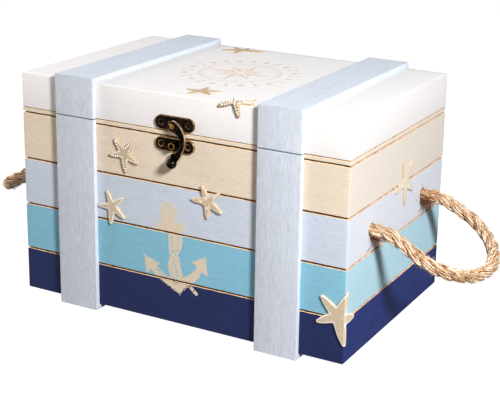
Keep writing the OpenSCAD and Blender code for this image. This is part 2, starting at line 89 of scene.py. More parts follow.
def addNode(tree, kind, inputs=None, **settings):
    node = tree.nodes.new(kind)
    for name, value in settings.items():
        setattr(node, name, value)
    feed(tree, node, inputs or {})
    return node


def newMaterial(name, values):
    material = bpy.data.materials.new(name)
    material.use_nodes = True
    shader = material.node_tree.nodes["Principled BSDF"]
    feed(material.node_tree, shader, values)
    return material, material.node_tree, shader


def linkedObject(name, data):
    made = bpy.data.objects.new(name, data)
    bpy.context.scene.collection.objects.link(made)
    return made


def smoothed(piece, sharpAngle):
    mesh = piece.data
    mesh.polygons.foreach_set("use_smooth", [True] * len(mesh.polygons))
    mesh.set_sharp_from_angle(angle=radians(sharpAngle))


def meshObject(name, points, faces, materials, faceSlots=None, sharpAngle=35):
    mesh = bpy.data.meshes.new(name)
    mesh.from_pydata([tuple(p) for p in points], [], faces)
    for material in materials:
        mesh.materials.append(material)
    if faceSlots:
        mesh.polygons.foreach_set("material_index", faceSlots)
    work = bmesh.new()
    work.from_mesh(mesh)
    bmesh.ops.recalc_face_normals(work, faces=work.faces)
    work.to_mesh(mesh)
    work.free()
    piece = linkedObject(name, mesh)
    smoothed(piece, sharpAngle)
    return piece


def pointValues(mesh, name, kind, values):
    attribute = mesh.attributes.new(name, kind, "POINT")
    attribute.data.foreach_set("value" if kind == "FLOAT" else "vector", values)


def finishedMesh(piece, name):
    # the evaluated modifiers as one plain mesh, in a new object
    graph = bpy.context.evaluated_depsgraph_get()
    mesh = bpy.data.meshes.new_from_object(piece.evaluated_get(graph))
    mesh.name = name
    return linkedObject(name, mesh)


def discard(piece):
    bpy.data.objects.remove(piece, do_unlink=True)


def handOver(piece, body, slot, *nodes):
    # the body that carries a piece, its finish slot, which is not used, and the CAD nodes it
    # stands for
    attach(piece, body)
    if nodes:
        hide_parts(*nodes)


view = {
    "azimuth": 28.462,  # degrees to the right of the front
    "elevation": 16.303,
    "roll": 1.101,
    "place": Vector((400.4, -704.5, 335.9)) * mm,
    "focal": 1238.6,  # pixels, of a photograph 500 pixels wide and 400 high
    "picture": (500, 400),
    "axisPixel": (260.0, 154.5),  # where the camera's axis meets the photograph
}


def placeCamera():
    turn, tilt, roll = (radians(view[k]) for k in ("azimuth", "elevation", "roll"))
    ahead = Vector((-sin(turn) * cos(tilt), cos(turn) * cos(tilt),
                    -sin(tilt)))
    level = Vector((cos(turn), sin(turn), 0))
    right = level * cos(roll) + level.cross(ahead) * sin(roll)
    up = right.cross(ahead)
    wide, high = view["picture"]
    data = bpy.data.cameras.new("camera")
    data.sensor_width = 36
    data.lens = view["focal"] / wide * data.sensor_width
    data.shift_x = (wide / 2 - view["axisPixel"][0]) / wide
    data.shift_y = (view["axisPixel"][1] - high / 2) / wide
    data.clip_start, data.clip_end = 0.05, 50
    camera = linkedObject("camera", data)
    camera.matrix_world = Matrix.Translation(view["place"]) @ Matrix(
        (right, up, -ahead)).transposed().to_4x4()
    bpy.context.scene.camera = camera


studio = {
    # each lamp: where it stands as seen from the box, how far, its size, power and colour
    "lamps": {
        "key lamp": ((0.70, -0.48, 0.53), 0.95, 0.15, 13.8, "#FFFFFF"),
        "fill lamp": ((-0.55, -0.8, 0.3), 0.9, 0.5, 0.8, "#FFE8D0"),
        "overhead lamp": ((-0.75, 0.1, 0.75), 0.7, 0.4, 1.2, "#FFFFFF"),
        "left lamp": ((-0.95, -0.16, 0.3), 0.8, 0.4, 4.7, "#FFFCF8"),
    },
    "boxMiddle": Vector((0, 0, 0.08)),
    "worldLight": 0.075,
    "worldColour": "#E6F0FF",
    "floorColour": "#6C6967",
    "floorHalf": 12,
    "mirrored": 0.4,  # how bright the paper shows in the paints and the metal
}


def addLamps():
    for name, (place, distance, size, power, colour) in studio["lamps"].items():
        toward = Vector(place)
        data = bpy.data.lights.new(name, "AREA")
        data.size, data.energy, data.color = size, power, linearColour(colour)[:3]
        lamp = linkedObject(name, data)
        lamp.location = studio["boxMiddle"] + toward.normalized() * distance
        lamp.rotation_mode = "QUATERNION"
        lamp.rotation_quaternion = toward.to_track_quat("Z", "Y")


def computed(tree, operation, *values):
    return addNode(tree, "ShaderNodeMath", dict(enumerate(values)),
                   operation=operation).outputs[0]


def seenRays(tree):
    # 1 on camera rays, which meet the white background, and less on mirrored ones
    path = addNode(tree, "ShaderNodeLightPath").outputs
    mirrored = computed(tree, "MULTIPLY", path["Is Glossy Ray"], studio["mirrored"])
    return computed(tree, "MAXIMUM", path["Is Camera Ray"], mirrored)


def ranged(tree, value, low, high, outLow=0.0, outHigh=1.0):
    return addNode(tree, "ShaderNodeMapRange",
                   {0: value, 1: low, 2: high, 3: outLow, 4: outHigh}).outputs[0]


def mixedValues(tree, share, first, second):
    return addNode(tree, "ShaderNodeMix", {0: share, 2: first, 3: second}).outputs[0]


def mixedColours(tree, share, first, second):
    # each colour is a hex code, four numbers or a socket
    first, second = (linearColour(c) if isinstance(c, str) else c for c in (first, second))
    return addNode(tree, "ShaderNodeMix", {0: share, 6: first, 7: second},
                   data_type="RGBA").outputs[2]


def setStage():
    addLamps()
    world = bpy.data.worlds.new("studio")
    world.use_nodes = True
    bpy.context.scene.world = world
    tree, white = world.node_tree, (1, 1, 1, 1)
    seen = seenRays(tree)  # a dim, cool light, yet a white backdrop
    feed(tree, tree.nodes["Background"], {
        "Color": mixedColours(tree, seen, studio["worldColour"], white),
        "Strength": ranged(tree, seen, 0.0, 1.0, studio["worldLight"], 1.0)})

    paper, tree, shader = newMaterial("white floor paper", {
        "Roughness": 0.9, "Specular IOR Level": 0.0, "Emission Color": white,
        "Base Color": linearColour(studio["floorColour"])})
    feed(tree, shader, {"Emission Strength": seenRays(tree)})
    half = studio["floorHalf"]
    floor = meshObject("floor", [(-half, -half, 0), (half, -half, 0), (half, half, 0),
                                 (-half, half, 0)], [(0, 1, 2, 3)], [paper])


placeCamera()
setStage()
bpy.context.scene.view_settings.view_transform = "Standard"
print("camera, lamps and floor ready")


def objectCoords(tree):
    return addNode(tree, "ShaderNodeTexCoord").outputs["Object"]


def grainedCoords(tree, along, spacing=0.7, stretch=9):
    # Object coordinates squeezed along one axis, so that a noise becomes lines that way,
    # with a line every 0.7 mm: a brush hair's track as the eye sees it
    scale = [1 / (spacing * mm)] * 3
    scale["XYZ".index(along)] /= stretch
    return addNode(tree, "ShaderNodeMapping", {"Vector": objectCoords(tree),
                                               "Scale": scale}).outputs[0]


def noiseOn(tree, vector, scale, detail=3.0, roughness=0.5, distortion=0.0):
    return addNode(tree, "ShaderNodeTexNoise",
                   {"Vector": vector, "Scale": scale, "Detail": detail,
                    "Roughness": roughness, "Distortion": distortion}).outputs[0]


def bumped(tree, height, strength, depth):
    return addNode(tree, "ShaderNodeBump", {"Height": height, "Strength": strength,
                                            "Distance": depth * mm}).outputs[0]


def paintedWood(name, colour, along, contrast=0.045, gloss=0.3):
    # Pine boards, brushed once with matt craft acrylic: an even flat colour in which
    # hair tracks and the grain below show as fine lines along the board
    material, tree, shader = newMaterial(name, {"IOR": 1.47, "Specular IOR Level": gloss})
    brush = noiseOn(tree, grainedCoords(tree, along), 1.0, 4.0, 0.68)
    streaks = noiseOn(tree, grainedCoords(tree, along, 2.6, 30), 1.0)  # sweeps of the brush
    cover = noiseOn(tree, objectCoords(tree), 32.0)  # uneven cover, in patches of 3 cm
    both = mixedValues(tree, 0.14, mixedValues(tree, 0.2, brush, streaks), cover)
    base = linearColour(colour)[:3]
    thin = [c * (1 - 2.2 * contrast) for c in base] + [1]
    thick = [min(1, c * (1 + 1.6 * contrast) + 0.1 * contrast) for c in base] + [1]
    feed(tree, shader, {
        "Base Color": mixedColours(tree, ranged(tree, both, 0.34, 0.66), thin, thick),
        "Roughness": ranged(tree, both, 0.3, 0.7, 0.6, 0.46),
        "Normal": bumped(tree, brush, 0.75, 0.3)})
    return material


def bareWood(name, pale, dark, along, ringWidth=4.0, roughness=0.62):
    # Sanded pine: pale earlywood with darker resin lines along the board, no finish
    material, tree, shader = newMaterial(name, {"Roughness": roughness, "IOR": 1.45})
    grain = noiseOn(tree, grainedCoords(tree, along, ringWidth, 14), 1.0, 6.0, 0.55, 0.6)
    fibre = noiseOn(tree, grainedCoords(tree, along), 1.6)
    ramp = ranged(tree, mixedValues(tree, 0.4, grain, fibre), 0.36, 0.66)
    feed(tree, shader, {
        "Base Color": mixedColours(tree, ramp, dark, pale),
        "Normal": bumped(tree, fibre, 0.4, 0.2)})
    return material


def speckled(name, values, grain, first, second, low, high, share=1.0):
    # one colour with specks of a second, where a noise of that grain passes low to high
    material, tree, shader = newMaterial(name, values)
    speck = noiseOn(tree, objectCoords(tree), *grain)
    cover = ranged(tree, speck, low, high, 0.0, share)
    feed(tree, shader, {"Base Color": mixedColours(tree, cover, first, second)})
    return material, tree, shader, speck


def scorchedWood(name, dark, pale, cover):
    # A groove cut with a hot cutter: charred brown with raw tan wood breaking through, in
    # blotches about 3 mm long
    return speckled(name, {"Roughness": 0.7, "IOR": 1.45}, (330.0, 4.0, 0.65), pale, dark,
                    cover - 0.14, cover + 0.14)[0]


finish = {
    "navy": paintedWood("navy acrylic on pine", "#1E2956", "X", 0.06, 0.2),
    "turquoise": paintedWood("turquoise acrylic on pine", "#84BCD2", "X"),
    "sky": paintedWood("sky acrylic on pine", "#C8D1DE", "X"),
    "cream": paintedWood("cream acrylic on pine", "#E2D3BE", "X"),
    # the side walls' copies of each paint, in tones changed from the front's: painted light and
    # shade for how the lamps fall on the sides
    "sideNavy": paintedWood("navy acrylic on the side walls", "#1A2A63", "Y", 0.05, 0.12),
    "sideTurquoise": paintedWood("turquoise acrylic on the side walls", "#A6C7D4", "Y", 0.025),
    "sideSky": paintedWood("sky acrylic on the side walls", "#CBCED6", "Y", 0.015),
    "sideCream": paintedWood("cream acrylic on the side walls", "#D1C9BE", "Y", 0.015),
    "lidFront": paintedWood("white acrylic on the lid", "#E6E3E2", "X", 0.018),
    # the lid's sides, darker than its front and top: painted shade
    "lidSide": paintedWood("white acrylic on the lid's sides", "#D5D2D1", "Y", 0.015),
    "battenUp": paintedWood("pale blue acrylic on upright battens", "#CAD1DC", "Z", 0.09),
    # darker blue-grey on the battens' ends at the lid's seam: painted shade of the gap
    "battenSeamShade": paintedWood("painted shade at the lid's seam", "#8896A4", "X"),
    "battenAcross": paintedWood("pale blue acrylic on flat battens", "#CAD1DC", "Y", 0.07),
    "wallInside": bareWood("sanded pine, walls", "#E2C596", "#C99D63", "X"),
    "panelInside": bareWood("birch plywood, panels", "#E6CFA6", "#D3B283", "X", 7.0),
    "rim": bareWood("sawn pine, rims", "#D9B583", "#A9743F", "X", 2.0, 0.7),
    "scorch": scorchedWood("scorched pine", "#4E2B12", "#B07638", 0.50),
    "scorchedEdge": scorchedWood("singed raw pine", "#B8824A", "#E8CBA2", 0.62),
    # the grooves and sawn edges on the side walls, paler than the front's: painted light
    "sideScorch": scorchedWood("scorched pine in the side grooves, paler as painted light", "#9A7050", "#D8B897", 0.56),
}
print("wood finishes mixed")

frontLow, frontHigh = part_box("front_wall")
panelLow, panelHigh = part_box("lid_top_panel")


shell = {
    "halfX": frontHigh.x,
    "halfY": (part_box("back_wall")[1].y - frontLow.y) / 2,
    "wall": frontHigh.y - frontLow.y,
    "cornerRadius": 0.3 * mm,
    "cornerSteps": 4,
    "sideStep": 3.0 * mm,  # distance of the points along a board
    "edge": 0.3 * mm,  # rounding of the rims
    # the rounding of the lid's top edge, as points in from the side and down from the top
    "topEdge": [(0, 0.4 * mm), (0.12 * mm, 0.12 * mm), (0.4 * mm, 0)],
    "topRing": 4 * mm,  # the top's flat begins this far in
}


grooves = {
    "pitch": 32.0 * mm,
    "belowRim": 3.1 * mm,
    "count": 4,
    "width": 1.4 * mm,
    "depth": 1.5 * mm,
    "floor": (0.4, 0.6),  # how far its flat floor reaches down and up, of half the width
    "lip": 0.3 * mm,  # the lower edge, worn to raw wood; its pale finish is also a painted highlight
    "paintGap": 0.2 * mm,  # from its upper edge to where the next plank's paint starts
    "waver": 0.22 * mm,  # unevenness of a groove's edges along the board
    "waverScale": 260,  # of its noise, per metre
}


def grooveHeights():
    top = frontHigh.z - grooves["belowRim"]
    return [top - grooves["pitch"] * i for i in reversed(range(grooves["count"]))]


def ringRound(inset):
    # one turn round the box, level, as far inside its faces as inset
    radius, steps = shell["cornerRadius"], shell["cornerSteps"]
    arcs = []
    for corner, (signX, signY) in enumerate(((1, -1), (1, 1), (-1, 1), (-1, -1))):
        centre = Vector((signX * (shell["halfX"] - inset - radius),
                         signY * (shell["halfY"] - inset - radius)))
        angles = [radians(90 * (corner - 1 + k / steps)) for k in range(steps + 1)]
        arcs.append([centre + radius * Vector((cos(a), sin(a))) for a in angles])
    ring = []
    for corner in range(4):
        start, end = arcs[corner][-1], arcs[(corner + 1) % 4][0]
        length = 2 * (shell["halfY"], shell["halfX"])[corner % 2]
        parts = round(length / shell["sideStep"])
        ring += arcs[corner] + [start.lerp(end, k / parts) for k in range(1, parts)]
    return ring


def shellOf(name, profile, closed, capSlots=(None, None)):
    # profile: inset, height, finish of the band to the next point, waver of the point;
    # a finish is a pair where the side walls have their own
    bands = [band if isinstance(band, tuple) else (band, band) for _, _, band, _ in profile]
    used = list(dict.fromkeys([*(one for pair in bands for one in pair),
                               *filter(None, capSlots)]))
    points, faces, slots = [], [], []
    for inset, height, _, waver in profile:
        for x, y in ringRound(inset):
            shake = waver * noise.noise(Vector((x, y, height)) * grooves["waverScale"])
            points.append((x, y, height + shake))
    around = len(points) // len(profile)
    for i in range(len(profile) if closed else len(profile) - 1):
        low, high = i * around, (i + 1) % len(profile) * around
        for k in range(around):
            after = (k + 1) % around
            faces.append((low + k, low + after, high + after, high + k))
            alongX, alongY = (abs(points[low + after][axis] - points[low + k][axis])
                              for axis in (0, 1))
            slots.append(used.index(bands[i][alongY > alongX]))
    if not closed:
        for start, slot in ((0, capSlots[0]), ((len(profile) - 1) * around, capSlots[1])):
            faces.append(tuple(range(start, start + around)))
            slots.append(used.index(slot))
    return meshObject(name, points, faces, [finish[one] for one in used], slots, 30)


def caseProfile():
    rows = []
    plankFinish = [("navy", "sideNavy"), ("turquoise", "sideTurquoise"), ("sky", "sideSky"),
                   ("cream", "sideCream"), ("cream", "sideCream")]
    edge, lip, half, waver = shell["edge"], grooves["lip"], grooves["width"] / 2, grooves["waver"]
    bottom, rim, wall = frontLow.z, frontHigh.z, shell["wall"]
    # in a groove the pale lower lip is raw wood and also a painted highlight, and the dark cut is
    # charred wood and also painted shade
    lipFinish, cut = ("scorchedEdge", "sideScorch"), ("scorch", "sideScorch")
    rows.append((edge, bottom, plankFinish[0], 0))
    lower = bottom + edge
    for paint, middle in zip(plankFinish, grooveHeights()):
        rows += [
            (0, lower, paint, 0),
            (0, middle - half, lipFinish, waver),
            (lip, middle - half + lip, cut, waver),
            (grooves["depth"], middle - half * grooves["floor"][0], cut, 0),
            (grooves["depth"], middle + half * grooves["floor"][1], cut, 0),
            (0, middle + half, cut, waver),
        ]
        lower = middle + half + grooves["paintGap"]
    rows[-1] = rows[-1][:2] + (plankFinish[4], waver)
    rows += [
        (0, rim - edge, ("scorchedEdge", "sideScorch"), 0),
        (edge, rim, "rim", 0),
        (wall - edge, rim, "rim", 0),
        (wall, rim - edge, "wallInside", 0),
        (wall, bottom + edge, "wallInside", 0),
        (wall - edge, bottom, "rim", 0),
    ]
    return rows


def lidProfile():
    edge, wall = shell["edge"], shell["wall"]
    rim, ceiling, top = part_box("lid_front_rail")[0].z, panelLow.z, panelHigh.z
    outside = ("lidFront", "lidSide")
    return [
        (wall, ceiling, "wallInside", 0),
        (wall, rim + edge, "wallInside", 0),
        (wall - edge, rim, "rim", 0),
        # the lid's sawn lower edge, dark: charred wood and painted shade of the seam below it
        (edge, rim, ("scorch", "sideScorch"), 0),
        (0, rim + edge, outside, 0),
        *[(inset, top - drop, "lidFront" if inset else outside, 0)
          for inset, drop in shell["topEdge"]],
        (shell["topRing"], top, "lidFront", 0),
    ]


caseShell = shellOf("case_boards", caseProfile(), True)
lidShell = shellOf("lid_boards", lidProfile(), False, ("panelInside", "lidFront"))
print("case and lid boards made")


ropeHoles = {
    "radius": 4.5 * mm,
    "spacing": 84.0 * mm,
    "height": 79.6 * mm,
}


def boreRopeHoles():
    # the holes' walls keep the raw wood of the cutter
    for index, (side, end) in enumerate(((-1, -1), (-1, 1), (1, -1), (1, 1))):
        bpy.ops.mesh.primitive_cylinder_add(
            vertices=40, radius=ropeHoles["radius"], depth=shell["wall"] * 3,
            location=(side * (shell["halfX"] - shell["wall"] / 2),
                      end * ropeHoles["spacing"] / 2, ropeHoles["height"]),
            rotation=(0, pi / 2, 0))
        cutter = bpy.context.object
        cutter.data.materials.append(finish["scorchedEdge"])
        bore = caseShell.modifiers.new(f"bore {index}", "BOOLEAN")
        bore.operation, bore.solver, bore.object = "DIFFERENCE", "EXACT", cutter
        bore.material_mode = "TRANSFER"
        cutter.hide_render = cutter.hide_viewport = True
    cut = finishedMesh(caseShell, "case_walls")
    for modifier in caseShell.modifiers:
        discard(modifier.object)
    discard(caseShell)
    smoothed(cut, 30)
    return cut


handOver(boreRopeHoles(), "case", "plank_paint", "front_wall", "back_wall", "left_wall",
         "right_wall")
handOver(lidShell, "lid", "lid_paint", "lid_front_rail", "lid_back_rail", "lid_left_rail",
         "lid_right_rail", "lid_top_panel")
print("rope holes bored")


def workedCopy(node, slot, edgeRule, width, segments, materials, slotRule=None):
    # a copy of a CAD node with its edges rounded where edgeRule says; the last material
    # goes on the roundings, and slotRule can choose another for any face
    source = frame["nodes"][node]
    mesh = bpy.data.meshes.new(node + "_piece")
    work = bmesh.new()
    work.from_mesh(source.data)
    sameSpot, flat = 0.002 * mm, radians(1.5)
    bmesh.ops.remove_doubles(work, verts=work.verts, dist=sameSpot)
    bmesh.ops.dissolve_limit(work, angle_limit=flat, verts=work.verts, edges=work.edges)
    for face in work.faces:
        face.material_index = 0
    edges = [e for e in work.edges if len(e.link_faces) == 2 and edgeRule(e)]
    bmesh.ops.bevel(work, geom=edges, offset=width, offset_type="OFFSET", segments=segments,
                    profile=0.5, affect="EDGES", clamp_overlap=True,
                    material=len(materials) - 1)
    low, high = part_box(node)
    for vertex in work.verts:  # no rounding may stand out of the part's own box
        vertex.co = [max(low[k], min(high[k], vertex.co[k])) for k in range(3)]
    if slotRule:
        work.normal_update()
        for face in work.faces:
            chosen = slotRule(face)
            if chosen is not None:
                face.material_index = chosen
    for material in materials:
        mesh.materials.append(material)
    work.to_mesh(mesh)
    work.free()
    piece = linkedObject(node + "_piece", mesh)
    smoothed(piece, 32)
    handOver(piece, source["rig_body"], slot, node)


battens = {
    "round": 0.55 * mm,
    "steps": 3,
    "seamShadeHigh": 0.22 * mm,  # height of the painted shade at the lid's seam: darker paint on the batten ends
    "longEdge": 0.6,  # an edge at least this long, of the batten's length, is rounded
    "upright": [f"{side}_{part}_batten" for part in ("front", "back", "lid_front", "lid_back")
                for side in ("left", "right")],
    "flat": ["left_runner", "right_runner", "left_lid_top_batten", "right_lid_top_batten"],
}


def makeBattens():
    for names, axis, material in ((battens["upright"], 2, finish["battenUp"]),
                                  (battens["flat"], 1, finish["battenAcross"])):
        for node in names:
            low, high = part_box(node)
            onCase = low.z < ropeHoles["height"]
            seam = high.z if onCase else low.z

            def longOrSeam(edge):
                a, b = edge.verts[0].co, edge.verts[1].co
                atSeam = axis == 2 and max(abs(a.z - seam), abs(b.z - seam)) < 0.01 * mm
                long = battens["longEdge"] * (high[axis] - low[axis])
                return atSeam or abs((b - a)[axis]) > long

            # the faces next to the seam take the painted shade
            def paintSlot(face):
                middle = face.calc_center_median()
                return 1 if axis == 2 and abs(middle.z - seam) < battens["seamShadeHigh"] else 0

            workedCopy(node, "batten_paint", longOrSeam, battens["round"], battens["steps"],
                       [material, finish["battenSeamShade"]], paintSlot)


makeBattens()
print("battens rounded")


def agedBronze(name, dark, bright, cover, roughness):
    # Cast zinc with an antique bronze plating: nearly black in the hollows, with the
    # brass showing through in specks where fingers wear it
    material, tree, shader, speck = speckled(name, {"Metallic": 1.0}, (900.0, 4.0, 0.6), dark,
                                             bright, cover - 0.12, cover + 0.12)
    feed(tree, shader, {
        "Roughness": ranged(tree, speck, 0.35, 0.65, roughness + 0.12, roughness - 0.1),
        "Normal": bumped(tree, speck, 0.3, 0.08)})
    return material


metal = {
    "patina": agedBronze("antique bronze patina", "#0F0C0A", "#5C4730", 0.64, 0.34),
    # the next two: rubbed brass on the rims, bright enough to be partly a painted highlight
    "edge": agedBronze("rubbed bronze edges, painted highlight", "#7E5C3A", "#DDB884", 0.48, 0.34),
    "rubAndHighlight": agedBronze("rubbed bronze hook, painted highlight", "#B58E62", "#FFE6C4", 0.42, 0.42),
    "rivet": agedBronze("worn brass rivet", "#5E3C12", "#D9983E", 0.5, 0.3),
    "post": agedBronze("worn brass eyelet", "#4A3216", "#C69050", 0.5, 0.3),
    "hinge": agedBronze("brassed steel", "#9C7A3E", "#CDA85E", 0.4, 0.32),
}


latch = {
    # node: finish slot, metal, metal of its edges (rubbed, and on the plates, nails and hook also
    # a painted highlight), width of those edges in mm
    "fittings": {
        "hook_plate": ("latch_bronze", "patina", "edge", 0.4),
        "keeper_plate": ("latch_bronze", "patina", "edge", 0.4),
        "hook_plate_nails": ("latch_bronze", "patina", "edge", 0.3),
        "keeper_nails": ("latch_bronze", "patina", "edge", 0.3),
        "latch_hook": ("latch_bronze", "patina", "rubAndHighlight", 0.45),
        "pivot_rivet": ("worn_brass", "rivet", "patina", 0.3),
        "keeper_post": ("worn_brass", "patina", "post", 0.35),
        **{f"{side}_hinge_{leaf}_leaf": ("hinge_brass", "hinge", "hinge", 0.12)
           for leaf in ("case", "lid") for side in ("left", "right")},
    },
    "knobHigh": 6.6 * mm,  # the top of the ball knob, above the hook's foot
    "neckHigh": 1.6 * mm,  # and from there the dark inner side of the arm's neck
    "neckWide": 5.5 * mm,
    "rimFacing": 0.6,  # a face that looks less than this to the front is on the rim
    "rivetMiddle": 2.3 * mm,  # below its top
    "rivetDome": 1.6 * mm,  # radius
    # clockwise from the inner edge of the arm, as x and z in mm
    "neckOutline": [(-0.8, 118.6), (6.6, 119.2), (5.9, 117.6), (4.7, 115.7), (3.4, 114.1),
                    (2.4, 113.0), (-2.4, 113.0), (-2.2, 114.6), (-1.4, 116.4)],
    "neckFaces": (-80.52, -78.48),
    "neckHighlightFrom": 1.4 * mm,  # bright from here to the right: rubbed metal and a painted highlight on the side toward the light
}


def bent(edge):
    return edge.calc_face_angle(0) > radians(28)


def makeLatch():
    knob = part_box("latch_hook")[0].z + latch["knobHigh"]
    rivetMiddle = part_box("pivot_rivet")[1].z - latch["rivetMiddle"]

    def hookRim(face):
        middle = face.calc_center_median()
        if middle.z < knob + latch["neckHigh"] and middle.x < latch["neckWide"]:
            return 0
        onRim = abs(face.normal.y) < latch["rimFacing"] and middle.z > knob
        return 1 if onRim else None

    def rivetRing(face):
        middle = face.calc_center_median()
        fromMiddle = hypot(middle.x, middle.z - rivetMiddle)
        return 1 if fromMiddle > latch["rivetDome"] else None

    rules = {"latch_hook": hookRim, "pivot_rivet": rivetRing}
    for node, (slot, main, worn, width) in latch["fittings"].items():
        materials = [metal[main], metal[worn]] if worn != main else [metal[main]]
        workedCopy(node, slot, bent, width * mm, 2, materials, rules.get(node))

    # the arm runs on into the ball
    outline = latch["neckOutline"]
    count = len(outline)
    points = [(x * mm, y * mm, z * mm) for y in latch["neckFaces"] for x, z in outline]
    sides = [(k, (k + 1) % count, count + (k + 1) % count, count + k) for k in range(count)]
    faces = [tuple(range(count)), tuple(range(count, 2 * count)), *sides]
    # the neck's right side takes the bright metal: a painted highlight toward the light
    slots = [0, 0] + [1 if points[k][0] > latch["neckHighlightFrom"] else 0 for k in range(count)]
    neck = meshObject("hook_neck", points, faces, [metal["patina"], metal["rubAndHighlight"]], slots)
    handOver(neck, "hook", "latch_bronze")


makeLatch()
for node, material in (("left_hinge_pin", metal["hinge"]), ("right_hinge_pin", metal["hinge"]),
                       ("hinge_case_screws", metal["hinge"]),
                       ("hinge_lid_screws", metal["hinge"]),
                       ("bottom_panel", finish["panelInside"])):
    frame["nodes"][node].data.materials.clear()
    frame["nodes"][node].data.materials.append(material)
print("latch and hinges finished")


def gridWalk(depthAt, low, high, cell):
    # walks the cells of a grid over a drawing; for each that the shape touches, gives what
    # lies round it: its corners inside the shape, as key, column, row and depth, and the
    # places where its sides cross the shape's edge, at depth 0
    depths = {}

    def depth(spot):
        if spot not in depths:
            depths[spot] = depthAt(low[0] + spot[0] * cell, low[1] + spot[1] * cell)
        return depths[spot]

    for i in range(round((high[0] - low[0]) / cell)):
        for j in range(round((high[1] - low[1]) / cell)):
            corners = [(i, j), (i + 1, j), (i + 1, j + 1), (i, j + 1)]
            found = []
            for a, b in zip(corners, corners[1:] + corners[:1]):
                da, db = depth(a), depth(b)
                if da > 0:
                    found.append((a, *a, da))
                if (da > 0) != (db > 0):
                    share = da / (da - db)
                    found.append(((min(a, b), max(a, b)), a[0] + (b[0] - a[0]) * share,
                                  a[1] + (b[1] - a[1]) * share, 0))
            if found:
                yield found


def reliefMesh(name, depthAt, low, high, cell, heightAt, place, materials):
    # A closed relief over the part of a grid where depthAt, the distance in from the
    # shape's edge, is above zero. heightAt turns that distance into a height, and place
    # puts a point of the drawing at a height onto the object.
    spots, outlines = {}, []
    for found in gridWalk(depthAt, low, high, cell):
        spots.update({key: rest for key, *rest in found})
        outlines.append([key for key, *_ in found])
    order = {key: index for index, key in enumerate(spots)}
    points, inward = [], []
    for lifted in (True, False):
        for i, j, d in spots.values():
            u, v = low[0] + i * cell, low[1] + j * cell
            points.append(place(u, v, heightAt(d) if lifted else 0))
            inward.append(d / mm if lifted else 0.0)
    count = len(spots)
    top = [[order[key] for key in outline] for outline in outlines]
    rims = {(a, b) for face in top for a, b in zip(face, face[1:] + face[:1])}
    solid = top + [[count + k for k in reversed(face)] for face in top]
    solid += [[a, count + a, count + b, b] for a, b in sorted(rims) if (b, a) not in rims]
    slots = [0] * 2 * len(top) + [len(materials) - 1] * (len(solid) - 2 * len(top))
    piece = meshObject(name, points, solid, materials, slots, 40)
    pointValues(piece.data, "inward", "FLOAT", inward)
    return piece


def onFront(u, v, height):
    return (u, frontLow.y - height, v)


def onRight(u, v, height):
    return (shell["halfX"] + height, u, v)


def onTop(u, v, height):
    return (u, v, panelHigh.z + height)


def segmentDepth(p, a, b, reach):
    # how far p lies inside a bar of that half width from a to b
    run = b - a
    share = max(0, min(1, (p - a).dot(run) / run.dot(run)))
    return reach - (p - a - run * share).length


def outlineDepth(p, corners):
    # how far p lies inside a closed outline
    inside, nearest = False, 1
    for a, b in zip(corners, corners[1:] + corners[:1]):
        nearest = min(nearest, -segmentDepth(p, a, b, 0))
        if (a.y > p.y) != (b.y > p.y) and p.x < a.x + (b.x - a.x) * (p.y - a.y) / (b.y - a.y):
            inside = not inside
    return nearest if inside else -nearest


def drawn(*places):
    return [Vector(place) * mm for place in places]


anchor = {  # a plain fouled anchor; all places in mm from its lowest point
    "crown": Vector((3.6, 24.2)) * mm,
    "reach": (30 * mm, 2 * mm, 23 * mm, 64 * mm),  # left, down, right and up of it
    "irons": [
        drawn((0, 0), (-16, 7.8), (-22.3, 13), (-25.4, 9.9), (-26.2, 15), (-27.6, 22),
              (-15.7, 18.2), (-18, 16), (-15.3, 13.6), (-11.5, 11.1), (-6.1, 10.4), (3, 12.2),
              (6, 14.2), (9.8, 17.6), (12.7, 21.6), (9, 23.9), (19.3, 29.4), (19.9, 23.2),
              (20.5, 17), (16.4, 18.4), (13.5, 13.6), (9.8, 9.7), (4.5, 5.8), (2.3, 3.6)),
        drawn((-9, 44), (-8.4, 29), (-7.6, 21), (-5.7, 10), (2.3, 11), (0.7, 17), (-1.2, 27),
              (-1.2, 44)),
        drawn((-19, 43.3), (-16.7, 46.4), (-14, 47), (-14, 53), (-5.3, 53), (-4.9, 48.6),
              (0.7, 49), (3.8, 46.6), (2.4, 43), (-3, 41), (-17.5, 41)),
    ],
    "ringCentre": Vector((-8.8, 54.3)) * mm,
    "ringRadius": 6.5 * mm,
    "rope": drawn((-0.2, 42), (0.2, 36.5), (-0.6, 32), (-3.2, 27.5), (-6.4, 23.3), (-7.6, 19),
                  (-7.3, 15.5), (-5.6, 12), (-3.6, 8)),
    "ropeHalf": 1.7 * mm,
    "ropeEnd": drawn((6.8, 7.6), (12.2, 2.9)),
    "ropeEndThin": 0.72,  # of the rope's width
    "gap": 0.28 * mm,  # half the bare line beside the rope
    "bareLines": [drawn((-6.4, 38), (-5.7, 24)), drawn((-3.8, 20), (-2.2, 12)),
                  drawn((-18, 13.6), (-10, 8.6))],
    "grooveGap": 0.25 * mm,  # bare board beside a groove
    "holeEvery": 3.6 * mm,
    "hole": 0.75 * mm,
    "raggedness": 1.6 * mm,  # of the anchor's foot; the rest is half as rough
    "footHigh": 30 * mm,
    "raggedEvery": 0.95 * mm,
    "ringHole": 0.72,  # of the ring's radius
    "ringSpeck": 1.5 * mm,
    "cell": 0.34 * mm,
    "paint": 0.05 * mm,  # thickness of both prints
}


